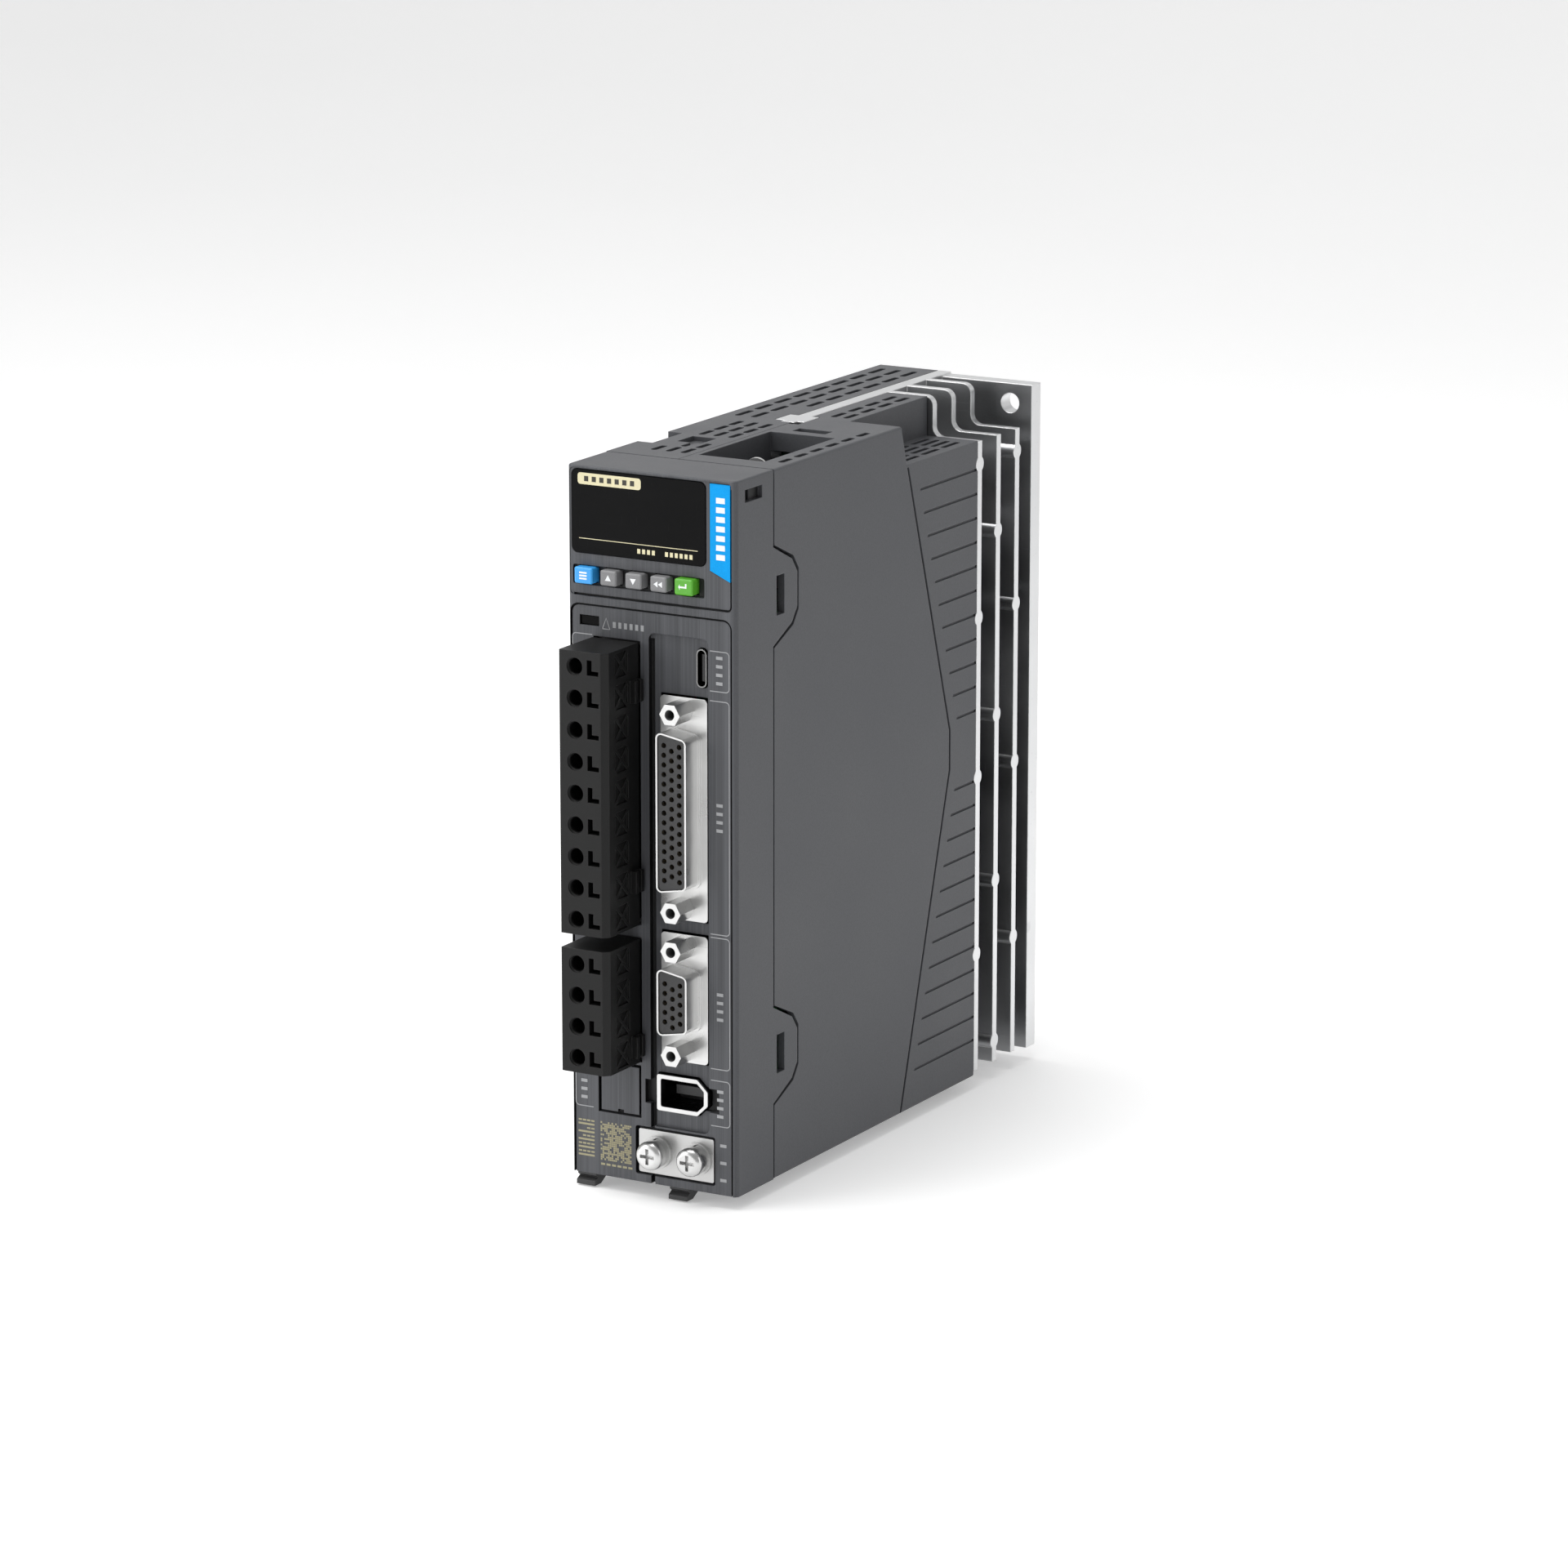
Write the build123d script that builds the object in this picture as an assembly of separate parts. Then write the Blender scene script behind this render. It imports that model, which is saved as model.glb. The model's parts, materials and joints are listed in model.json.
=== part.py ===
"""Book-type servo drive: cast heat sink, plastic shells, plug-in terminals, keypad and electronics.

Millimetres. The shapes are laid out from the front lower left corner of the housing:
X to the right, Y from the front panel to the back, Z up. On export everything is moved so
that the origin is the centre of the back mounting face.
"""
import os
from math import radians, tan

from build123d import *

# ---------------------------------------------------------------- driving dimensions
WIDTH = 45.0
DEPTH = 150.0
HEIGHT = 170.0
WALL = 1.8
PANEL = 2.0
PANEL_STEP = 0.35
PANEL_LEFT = 0.6
PANEL_RIGHT = WIDTH - 1.1
UPPER_PANEL = (139.4, 169.4)
LOWER_PANEL = (-4.0, 137.6)
GROOVE = 0.5
GROOVE_FLOOR = 1.1
EDGE_RADIUS = 1.4
FIT_GAP = 0.2

# depth stations of the three plastic mouldings and the heat sink
COVER_DEPTH = 17.2
SHELL_FRONT = 17.8
SINK_FRONT = 71.0
RIGHT_COVER_BACK = 117.2
SPLIT_X = 19.6

# heat sink
SINK_LEFT = 16.5
SINK_RIGHT = 20.0
FIN_THICK = 2.0
FIN_PITCH = 9.75
FIRST_FIN = 118.5
FIN_COUNT = 3
INNER_FIN_COUNT = 3
INNER_FIN_RIGHT = 41.5
FIN_BOTTOM = 1.3
INLET_X = (21.8, 41.6)
INLETS = ((73.0, 88.0), (90.4, 97.9), (100.1, 107.6), (109.9, 115.2))
FIN_STEP_X = 32.5
FIN_STEP_Z = 160.0
FIN_FILLET = 2.5
PLATE_FRONT = 145.4
PLATE_BOTTOM = 0.4
PLATE_TOP = 169.5
BOSS_RADIUS = 1.9
BOSS_REACH = 22.0
MOUNT_HOLE_RADIUS = 2.5
MOUNT_HOLE_X = 39.0
MOUNT_HOLE_Z = 164.6
MOUNT_SLOT_X = 26.0
MOUNT_SLOT_Z = 4.6
SLOT_CLEARANCE_Z = 11.0

# side latches of the front cover
TAB_CENTRES = (140.1, 30.2)
TAB_HALF_HEIGHT = 11.7
TAB_REACH = 28.5
TAB_GAP = 0.7
TAB_SLOPE = 4.2
TAB_CORNER = 7.6
TAB_NIB = 2.5
RELEASE_SLOT_Y = (4.3, 7.9, 12.2)
RELEASE_SLOT_Z = (164.4, 167.4)
RELEASE_SLOT_DEEP = 1.2

# operator panel
WINDOW_LEFT = 1.2
WINDOW_RIGHT = 36.9
WINDOW_BOTTOM = 149.5
WINDOW_TOP = 169.0
STRIP_LEFT = 38.1
STRIP_RIGHT = 43.4
STRIP_BOTTOM_LEFT = 148.7
STRIP_BOTTOM_RIGHT = 146.4
KEY_Z = 144.5
KEY_FIRST_X = 5.3
KEY_PITCH = 6.7
KEY_ROW = (1.4, 36.5, 142.0, 146.6)
KEY_NAMES = ("key_mode", "key_up", "key_down", "key_shift", "key_set")
KEY_END_SIZE = (4.8, 3.8)
KEY_MID_SIZE = (4.3, 3.6)
KEY_PROUD = 1.8
KEY_TRAVEL = 0.8
KEY_CLEARANCE = 0.2
KEY_FLANGE = 0.55
SWITCH_FACE = 5.0
STEM_END = SWITCH_FACE - KEY_TRAVEL - 0.3
DISPLAY_BOARD_Y = 8.2
LAMP_X = (3.3, 8.1)
LAMP_Z = (132.6, 134.6)
BOARD_THICK = 1.6

# pluggable terminals
PLUG_LEFT = 6.8
PLUG_RIGHT = 19.2
PLUG_PROUD = 15.0
PLUG_PITCH = 7.5
PLUG_CHAMFER = 1.4
POWER_WAYS = 9
POWER_BOTTOM = 62.5
MOTOR_WAYS = 4
MOTOR_BOTTOM = 29.3
WIRE_X = 10.9
WIRE_RADIUS = 2.1
LEVER_X = 14.2
LEVER_WIDE = 3.1
LEVER_TALL = 3.6
HEADER_FRONT = 2.4
HEADER_BACK = 13.4
HEADER_FLOOR = 11.4
HEADER_WALL = 1.1
PIN_X = 13.0
PIN_SIZE = 1.0
NOSE_END = 10.9

# signal connectors on the right half of the front
FLANGE_LEFT = 24.6
FLANGE_RIGHT = 37.1
FLANGE_FRONT = 0.35
FLANGE_THICK = 0.8
SHELL_WIDE = 8.1
SHELL_PROUD = 6.0
SHELL_WALL = 0.45
D_LEAN = 10.0
CONTACT_PITCH = 2.29
CONTACT_ROW = 2.05
CONTACT_HOLE = 0.64
CONTACT_RADIUS = 0.45
JACK_FLATS = 4.75
JACK_PROUD = 6.4
JACK_THREAD = 1.25
IO_CENTRE_Z = 91.65
IO_FLANGE = 53.04
IO_SHELL = 38.4
IO_JACKS = 47.04
IO_ROWS = (15, 14, 15)
FEEDBACK_CENTRE_Z = 46.3
FEEDBACK_FLANGE = 30.8
FEEDBACK_SHELL = 16.4
FEEDBACK_JACKS = 24.99
FEEDBACK_ROWS = (5, 5, 5)
CONNECTOR_X = (FLANGE_LEFT + FLANGE_RIGHT) / 2

ENCODER_LEFT = 23.4
ENCODER_RIGHT = 37.1
ENCODER_BOTTOM = 18.3
ENCODER_TOP = 27.1
ENCODER_WALL = 1.0
ENCODER_BACK = 12.0

USB_X = 35.5
USB_Z = 125.4
USB_WIDE = 2.7
USB_TALL = 9.1

# earth terminals
EARTH_LEFT = 18.1
EARTH_RIGHT = 38.4
EARTH_BOTTOM = 2.4
EARTH_TOP = 13.0
EARTH_FRONT = 0.7
EARTH_THICK = 1.6
EARTH_SCREWS = (23.3, 34.1)
EARTH_SCREW_Z = 7.9
M4_RADIUS = 1.95

# boards inside
POWER_BOARD_X = 4.2
CONTROL_BOARD_X = 38.8

NETWORK_LEFT = 21.0
NETWORK_RIGHT = 38.5
NETWORK_FRONT = 24.5
NETWORK_BACK = 58.0
NETWORK_TOP = 161.0
LUG_X = 34.1
LUG_Y = 28.5

# screws and spacers inside, as (y, z) seen from the side
POST_SPOTS = ((78.0, 158.0), (140.0, 150.0), (110.0, 10.0))
POST_RADIUS = 3.0
MODULE_SCREWS = ((83.0, 78.0), (132.0, 78.0))
STANDOFFS = ((24.0, 12.0), (24.0, 158.0), (134.0, 28.0), (134.0, 132.0))
CONTROL_POSTS = ((20.0, 18.0), (64.0, 18.0), (20.0, 133.0), (64.0, 133.0))

PLACE = Pos(-WIDTH / 2, -DEPTH, -HEIGHT / 2)


# ---------------------------------------------------------------- building helpers
def block(x0, x1, y0, y1, z0, z1):
    """Box from its six face positions."""
    return Pos((x0 + x1) / 2, (y0 + y1) / 2, (z0 + z1) / 2) * Box(x1 - x0, y1 - y0, z1 - z0)


def rod_x(y, z, radius, x0, x1):
    """Cylinder along X."""
    return Pos((x0 + x1) / 2, y, z) * Rot(0, 90, 0) * Cylinder(radius, x1 - x0)


def rod_y(x, z, radius, y0, y1):
    """Cylinder along Y."""
    return Pos(x, (y0 + y1) / 2, z) * Rot(90, 0, 0) * Cylinder(radius, y1 - y0)


def slab_y(sketch, y0, y1):
    """Extrude an outline drawn as (x, z) between two depths."""
    return Pos(0, y1, 0) * (Plane.XZ * extrude(sketch, y1 - y0))


def slab_x(sketch, x0, x1):
    """Extrude an outline drawn as (y, z) between two widths."""
    return Pos(x0, 0, 0) * (Plane.YZ * extrude(sketch, x1 - x0))


def outline(*points):
    """Closed outline through the points."""
    return make_face(Polyline(*points, close=True))


def rounded(x0, x1, z0, z1, radius):
    """Rectangle with round corners, drawn from its edges."""
    return Pos((x0 + x1) / 2, (z0 + z1) / 2) * RectangleRounded(x1 - x0, z1 - z0, radius)


def slots_z(columns, starts, width, length, z0, z1):
    """Round-ended vent slots along Y, cut between two heights."""
    slot = Rot(0, 0, 90) * SlotOverall(length, width)
    cutters = []
    for x in columns:
        for start in starts:
            cutters.append(Pos(x, start + length / 2, z0) * extrude(slot, z1 - z0))
    return cutters


def spread(first, step, count):
    """Evenly stepped positions."""
    return [first + step * index for index in range(count)]


def group(solids):
    """Several loose solids in one node."""
    return Compound(children=list(solids))


# ---------------------------------------------------------------- heat sink
def fin_outline():
    """Fin seen from the front: stepped at the top right and the bottom left for the two screws."""
    fin = outline(
        (SINK_RIGHT - 1.0, HEIGHT),
        (FIN_STEP_X, HEIGHT),
        (FIN_STEP_X, FIN_STEP_Z),
        (WIDTH, FIN_STEP_Z),
        (WIDTH, FIN_BOTTOM),
        (FIN_STEP_X, FIN_BOTTOM),
        (FIN_STEP_X, SLOT_CLEARANCE_Z),
        (SINK_RIGHT - 1.0, SLOT_CLEARANCE_Z),
    )
    corners = [v for v in fin.vertices() if abs(v.X - FIN_STEP_X) < 0.01 and v.Y > FIN_BOTTOM + 1]
    return fillet(corners, FIN_FILLET)


def boss_heights(index):
    """Ejector bosses alternate from fin to fin."""
    if index % 2 == 0:
        return (154.3, 116.1, 76.1, 31.1)
    return (136.2, 90.0, 47.9, 6.5)


def heat_sink():
    """Cast wall with outer fins, inner fins, a back plate with a hole and an open slot."""
    body = block(SINK_LEFT, SINK_RIGHT, SINK_FRONT, DEPTH, PLATE_BOTTOM, HEIGHT)
    body += block(SINK_LEFT, WIDTH, PLATE_FRONT, DEPTH, PLATE_BOTTOM, PLATE_TOP)
    body += block(14.2, 22.0, 72.5, 79.5, 164.0, HEIGHT)
    for index, y in enumerate(spread(FIRST_FIN, FIN_PITCH, FIN_COUNT)):
        body += slab_y(fin_outline(), y - FIN_THICK / 2, y + FIN_THICK / 2)
        for z in boss_heights(index):
            body += rod_x(y, z, BOSS_RADIUS, BOSS_REACH, WIDTH)
    for y in spread(FIRST_FIN - FIN_PITCH * INNER_FIN_COUNT, FIN_PITCH, INNER_FIN_COUNT):
        body += block(SINK_RIGHT - 1.0, INNER_FIN_RIGHT, y - FIN_THICK / 2, y + FIN_THICK / 2, 8.0, 154.0)
    body -= rod_y(MOUNT_HOLE_X, MOUNT_HOLE_Z, MOUNT_HOLE_RADIUS, PLATE_FRONT - 1, DEPTH + 1)
    body -= rod_y(MOUNT_SLOT_X, MOUNT_SLOT_Z, MOUNT_HOLE_RADIUS, PLATE_FRONT - 1, DEPTH + 1)
    body -= block(
        MOUNT_SLOT_X - MOUNT_HOLE_RADIUS,
        MOUNT_SLOT_X + MOUNT_HOLE_RADIUS,
        PLATE_FRONT - 1,
        DEPTH + 1,
        -1.0,
        MOUNT_SLOT_Z,
    )
    body -= [rod_x(y, z, 1.25, SINK_LEFT - 1, SINK_RIGHT - 0.4) for y, z in POST_SPOTS]
    body -= [rod_x(y, z, 1.55, SINK_LEFT - 1, SINK_RIGHT - 0.4) for y, z in MODULE_SCREWS]
    return body


# ---------------------------------------------------------------- plastic shells
def tab_outline(centre_z, grow=0.0):
    """Hexagonal side latch seen from the side, optionally grown by a gap."""
    half = TAB_HALF_HEIGHT + grow
    reach = TAB_REACH + grow
    back = COVER_DEPTH - 3.0
    return outline(
        (back, centre_z - half),
        (COVER_DEPTH, centre_z - half),
        (reach - TAB_NIB, centre_z - half + TAB_SLOPE),
        (reach, centre_z - half + TAB_CORNER),
        (reach, centre_z + half - TAB_CORNER),
        (reach - TAB_NIB, centre_z + half - TAB_SLOPE),
        (COVER_DEPTH, centre_z + half),
        (back, centre_z + half),
    )


def side_tabs(x0, x1):
    """Both latches of one side with their release slots."""
    tabs = []
    for centre_z in TAB_CENTRES:
        tab = slab_x(tab_outline(centre_z), x0, x1)
        tabs.append(tab - block(x0 - 1, x1 + 1, 18.8, 22.5, centre_z - 4.7, centre_z + 4.7))
    return tabs


def tab_pockets(x0, x1):
    """Openings in the housing walls that the latches fill."""
    return [slab_x(tab_outline(centre_z, TAB_GAP), x0, x1) for centre_z in TAB_CENTRES]


def screw_posts():
    """Hollow posts that carry the housing screws to the heat sink wall."""
    posts = []
    for y, z in POST_SPOTS:
        posts.append(rod_x(y, z, POST_RADIUS, WALL - 0.2, SINK_LEFT - 0.2))
    return posts


def left_housing():
    """Left half of the housing: side wall, vented top and bottom, back wall."""
    front = block(0, SPLIT_X - FIT_GAP, SHELL_FRONT, SINK_FRONT - FIT_GAP, 0, HEIGHT)
    back = block(0, SINK_LEFT - FIT_GAP, SINK_FRONT - 1, DEPTH, 0, HEIGHT)
    shell = front + back
    shell -= block(WALL, WIDTH, SHELL_FRONT - 1, SINK_FRONT + 1, WALL, HEIGHT - WALL)
    shell -= block(WALL, WIDTH, SINK_FRONT - 1, DEPTH - WALL, WALL, HEIGHT - WALL)
    shell -= block(-1, 4.0, 32.0, 46.0, HEIGHT - 1.5, HEIGHT + 1)
    shell += block(0, 5.2, 31.0, 47.0, HEIGHT - 3.3, HEIGHT - 1.5)
    shell -= block(14.0, SPLIT_X, 72.3, 79.7, 163.8, HEIGHT + 1)
    shell -= tab_pockets(-1, WALL + 1)
    through = (HEIGHT - WALL - 1, HEIGHT + 1)
    shell -= slots_z((8.5,), (24.5, 46.5, 53.5, 60.5), 1.7, 6.0, *through)
    shell -= slots_z((12.5, 16.5), (24.5, 31.5, 46.5, 53.5, 60.5), 1.7, 6.0, *through)
    shell -= block(8.0, 14.5, 36.5, 44.0, HEIGHT - 1.2, HEIGHT + 1)
    shell -= slots_z((3.6, 8.0), spread(72.0, 9.4, 8), 1.7, 7.6, *through)
    shell -= slots_z((12.6,), spread(90.8, 9.4, 6), 1.7, 7.6, *through)
    shell -= slots_z((4.5, 8.5, 12.5), spread(24.0, 9.4, 13), 1.7, 7.6, -1, WALL + 1)
    shell += screw_posts()
    shell -= [rod_x(y, z, 1.5, -1, SINK_LEFT) for y, z in POST_SPOTS]
    shell -= [rod_x(y, z, 2.9, -1, 1.7) for y, z in POST_SPOTS]
    return shell


def v_line(z):
    """Depth of the swept rear edge of the plain side panel at a height."""
    upper = ((103.3, 91.0), (78.2, HEIGHT))
    lower = ((79.0, 0.0), (103.3, 81.0))
    if z >= upper[0][1]:
        share = (z - upper[0][1]) / (upper[1][1] - upper[0][1])
        return upper[0][0] + share * (upper[1][0] - upper[0][0])
    if z <= lower[1][1]:
        return lower[0][0] + z / lower[1][1] * (lower[1][0] - lower[0][0])
    return lower[1][0]


def v_groove():
    """Thin dark line along the swept edge."""
    wide = 0.9
    path = [(v_line(z), z) for z in (159.6, 91.0, 81.0, -0.1)]
    back = [(y + wide, z) for y, z in reversed(path)]
    return slab_x(outline(*path, *back), WIDTH - 0.6, WIDTH + 1)


def rib_grooves():
    """Horizontal grooves behind the swept edge, at an even pitch above and below its point."""
    cutters = []
    for z in spread(93.25, 6.0, 11) + spread(9.5, 6.0, 12):
        start = v_line(z) + 4.6
        cutters.append(block(WIDTH - 0.45, WIDTH + 1, start, RIGHT_COVER_BACK + 1, z - 0.35, z + 0.35))
    return cutters


def driver_notch(x0, y_shift, z0):
    """Corner cut-out that lets a screwdriver reach the upper mounting screw."""
    side = outline(
        (v_line(HEIGHT) + y_shift, HEIGHT + 1),
        (v_line(z0) + y_shift, z0),
        (RIGHT_COVER_BACK + 1, z0),
        (RIGHT_COVER_BACK + 1, HEIGHT + 1),
    )
    return slab_x(side, x0, WIDTH + 1)


def network_pocket_walls():
    """Three short walls that hang from the top around the network sockets."""
    bottom = NETWORK_TOP - 3.0
    front = block(SPLIT_X, 40.0, NETWORK_FRONT - 1.4, NETWORK_FRONT, bottom, HEIGHT - 1)
    left = block(SPLIT_X, NETWORK_LEFT, NETWORK_FRONT - 1.4, NETWORK_BACK, bottom, HEIGHT - 1)
    right = block(NETWORK_RIGHT, 40.0, NETWORK_FRONT - 1.4, NETWORK_BACK, bottom, HEIGHT - 1)
    lintel = block(SPLIT_X, 40.0, NETWORK_BACK, NETWORK_BACK + 1.4, HEIGHT - 4.5, HEIGHT - 1)
    return [front, left, right, lintel]


def right_cover():
    """Right half of the housing: side wall with the swept panel, vented top, bottom, back wall."""
    shell = block(SPLIT_X, WIDTH, SHELL_FRONT, SINK_FRONT, 0, HEIGHT)
    shell += block(SINK_RIGHT + 0.3, WIDTH, SINK_FRONT - 1, RIGHT_COVER_BACK, 0, HEIGHT)
    inner = block(0, WIDTH - WALL, 0, RIGHT_COVER_BACK - WALL, WALL, HEIGHT - WALL)
    inner -= driver_notch(31.0 - WALL, -WALL, FIN_STEP_Z - 1.5)
    shell -= inner
    shell -= driver_notch(31.0, 0.0, FIN_STEP_Z + 0.3)
    shell -= block(SINK_LEFT, 22.3, SINK_FRONT - 2, 79.8, 163.8, HEIGHT + 1)
    shell -= tab_pockets(WIDTH - WALL - 1, WIDTH + 1)
    shell += network_pocket_walls()
    shell -= block(NETWORK_LEFT, NETWORK_RIGHT, NETWORK_FRONT, NETWORK_BACK, HEIGHT - WALL - 1, HEIGHT + 1)
    shell -= block(25.0, 34.0, 61.2, 65.0, HEIGHT - 1.3, HEIGHT + 1)
    through = (HEIGHT - WALL - 1, HEIGHT + 1)
    shell -= slots_z((42.0,), spread(25.5, 7.4, 6), 1.7, 5.4, *through)
    shell -= slots_z((24.6, 28.0), spread(81.5, 8.4, 4), 1.7, 6.4, *through)
    notch_floor = (FIN_STEP_Z - 2, FIN_STEP_Z + 1)
    shell -= slots_z((33.4, 36.2, 39.0, 41.8), spread(84.5, 10.2, 3), 1.5, 8.4, *notch_floor)
    shell -= [block(*INLET_X, y0, y1, -1, WALL + 1) for y0, y1 in INLETS]
    shell -= [rod_x(FIRST_FIN, z, BOSS_RADIUS + 0.25, SINK_RIGHT, WIDTH + 1) for z in boss_heights(0)]
    shell -= v_groove()
    shell -= rib_grooves()
    return fillet(side_long_edges(shell), 0.6)


def side_long_edges(shell):
    """The two long outer edges of the side wall, along the top and the bottom."""
    edges = shell.edges().filter_by(Axis.Y)
    return [
        edge
        for edge in edges
        if abs(edge.center().X - WIDTH) < 0.01
        and edge.length > 30
        and (abs(edge.center().Z) < 0.01 or abs(edge.center().Z - HEIGHT) < 0.01)
    ]


def key_places():
    """Name, centre and face size of each key, left to right."""
    places = []
    for index, name in enumerate(KEY_NAMES):
        size = KEY_END_SIZE if index in (0, len(KEY_NAMES) - 1) else KEY_MID_SIZE
        places.append((name, KEY_FIRST_X + KEY_PITCH * index, size))
    return places


def upper_panel(inset=0.0):
    """Outline of the operator panel, optionally drawn smaller."""
    bottom, top = UPPER_PANEL
    return rounded(PANEL_LEFT + inset, PANEL_RIGHT - inset, bottom + inset, top - inset, 1.2 - inset)


def lower_panel(inset=0.0):
    """Outline of the connector panel, which runs out at the bottom."""
    bottom, top = LOWER_PANEL
    return rounded(PANEL_LEFT + inset, PANEL_RIGHT - inset, bottom, top - inset, 2.4 - inset)


def panel_recesses():
    """The upper and lower front panels sit a little behind the rim, with round corners."""
    return [slab_y(upper_panel(), -1, PANEL_STEP), slab_y(lower_panel(), -1, PANEL_STEP)]


def panel_grooves():
    """Narrow joint lines just inside the rim of both front panels; the window takes the upper left."""
    upper = slab_y(upper_panel() - upper_panel(GROOVE), -1, GROOVE_FLOOR)
    upper -= block(-1, 1.6, -2, PANEL, 139.0, HEIGHT)
    upper -= block(-1, WIDTH, -2, PANEL, 168.0, HEIGHT)
    lower = slab_y(lower_panel() - lower_panel(GROOVE), -1, GROOVE_FLOOR)
    return [upper, lower]


def operator_cutouts():
    """Window, strip, key row and the lamp opening."""
    window = rounded(WINDOW_LEFT - 0.15, WINDOW_RIGHT + 0.15, WINDOW_BOTTOM - 0.15, WINDOW_TOP + 0.15, 1.6)
    cutters = [slab_y(window, -1, 1.5)]
    cutters.append(block(4.0, 34.0, 0, PANEL + 1, 154.0, 166.0))
    cutters.append(slab_y(strip_outline(0.1), -1, 0.9))
    cutters.append(slab_y(rounded(*KEY_ROW, 0.5), -1, 1.2))
    for _, x, (wide, tall) in key_places():
        half_x = wide / 2 + KEY_CLEARANCE
        half_z = tall / 2 + KEY_CLEARANCE
        cutters.append(block(x - half_x, x + half_x, 0, PANEL + 1, KEY_Z - half_z, KEY_Z + half_z))
    cutters.append(block(LAMP_X[0] - 0.2, LAMP_X[1] + 0.2, -1, PANEL + 1, LAMP_Z[0] - 0.2, LAMP_Z[1] + 0.2))
    return cutters


def terminal_cutouts():
    """Openings on the left half of the lower panel."""
    cutters = []
    for bottom, ways in ((POWER_BOTTOM, POWER_WAYS), (MOTOR_BOTTOM, MOTOR_WAYS)):
        top = bottom + ways * PLUG_PITCH
        cutters.append(block(PLUG_LEFT - 0.1, PLUG_RIGHT + 0.1, -1, PANEL + 1, bottom - 0.1, top + 0.1))
    cutters.append(block(7.3, 19.0, -1, 1.7, 15.6, 28.4))
    cutters.append(block(9.0, 17.6, -1, PANEL + 1, 17.2, 26.6))
    return cutters


def connector_cutouts():
    """Shallow pocket, groove and openings on the right half of the lower panel."""
    cutters = [slab_y(rounded(21.6, FLANGE_RIGHT + 0.3, 14.2, 132.4, 1.6), -1, 1.3)]
    cutters.append(block(21.6, 22.7, -1, 1.8, -1, 131.0))
    for centre_z, flange in ((IO_CENTRE_Z, IO_FLANGE), (FEEDBACK_CENTRE_Z, FEEDBACK_FLANGE)):
        low = centre_z - flange / 2 - 0.3
        high = centre_z + flange / 2 + 0.3
        cutters.append(block(FLANGE_LEFT - 0.3, FLANGE_RIGHT + 0.3, -1, PANEL + 1, low, high))
    cutters.append(slab_y(usb_outline(0.25), -1, PANEL + 1))
    cutters.append(slab_y(encoder_outline(0.3), -1, PANEL + 1))
    cutters.append(block(20.1, 23.0, -1, 1.9, 19.6, 25.4))
    cutters.append(block(36.0, 40.1, -1, 1.9, 19.6, 25.4))
    return cutters


def earth_pocket():
    """Pocket that seats the earth plate."""
    seat = rounded(EARTH_LEFT - 0.7, EARTH_RIGHT + 0.6, EARTH_BOTTOM - 0.5, EARTH_TOP + 0.7, 0.6)
    return slab_y(seat, -1, EARTH_FRONT + EARTH_THICK + 0.1)


def release_slots():
    """Slots for a lever tool near the top of both sides, open in front and blind behind."""
    front, middle, back = RELEASE_SLOT_Y
    through = block(-1, WIDTH + 1, front, middle, *RELEASE_SLOT_Z)
    left = block(-1, RELEASE_SLOT_DEEP, middle - 0.1, back, *RELEASE_SLOT_Z)
    right = block(WIDTH - RELEASE_SLOT_DEEP, WIDTH + 1, middle - 0.1, back, *RELEASE_SLOT_Z)
    return [through, left, right]


def front_cover():
    """Front moulding with the operator panel, all openings and four side latches."""
    shell = block(0, WIDTH, 0, COVER_DEPTH, 0, HEIGHT)
    uprights = [e for e in shell.edges().filter_by(Axis.Z) if e.center().Y < 1]
    shell = fillet(uprights, EDGE_RADIUS)
    shell = fillet([e for e in shell.edges() if abs(e.center().Z - HEIGHT) < 0.1 and e.center().Y < 1.5], 0.5)
    shell -= block(WALL, WIDTH - WALL, PANEL, COVER_DEPTH + 1, WALL, HEIGHT - WALL)
    shell += block(SINK_LEFT, WIDTH - 4.0, PANEL, 4.2, WALL - 0.5, 14.8)
    shell -= block(EARTH_LEFT + 1.8, EARTH_RIGHT - 1.8, PANEL, 4.3, EARTH_BOTTOM - 0.1, 4.2)
    shell -= panel_recesses()
    shell -= panel_grooves()
    shell -= operator_cutouts()
    shell -= terminal_cutouts()
    shell -= connector_cutouts()
    shell -= earth_pocket()
    shell -= [rod_y(x, EARTH_SCREW_Z, 2.4, 0, 6) for x in EARTH_SCREWS]
    shell -= release_slots()
    shell += side_tabs(WIDTH - WALL, WIDTH)
    shell += side_tabs(0, WALL)
    return shell


# ---------------------------------------------------------------- operator panel
def strip_outline(grow=0.0):
    """Coloured strip with a slanted lower end."""
    return outline(
        (STRIP_LEFT - grow, STRIP_BOTTOM_LEFT - grow),
        (STRIP_RIGHT + grow, STRIP_BOTTOM_RIGHT - grow),
        (STRIP_RIGHT + grow, WINDOW_TOP + grow),
        (STRIP_LEFT - grow, WINDOW_TOP + grow),
    )


def display_window():
    """Glossy dark window plate."""
    plate = rounded(WINDOW_LEFT, WINDOW_RIGHT, WINDOW_BOTTOM, WINDOW_TOP, 1.5)
    return slab_y(plate, 0.15, 1.45)


def name_strip():
    """Blank coloured strip beside the window."""
    return slab_y(strip_outline(), 0.2, 0.85)


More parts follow.
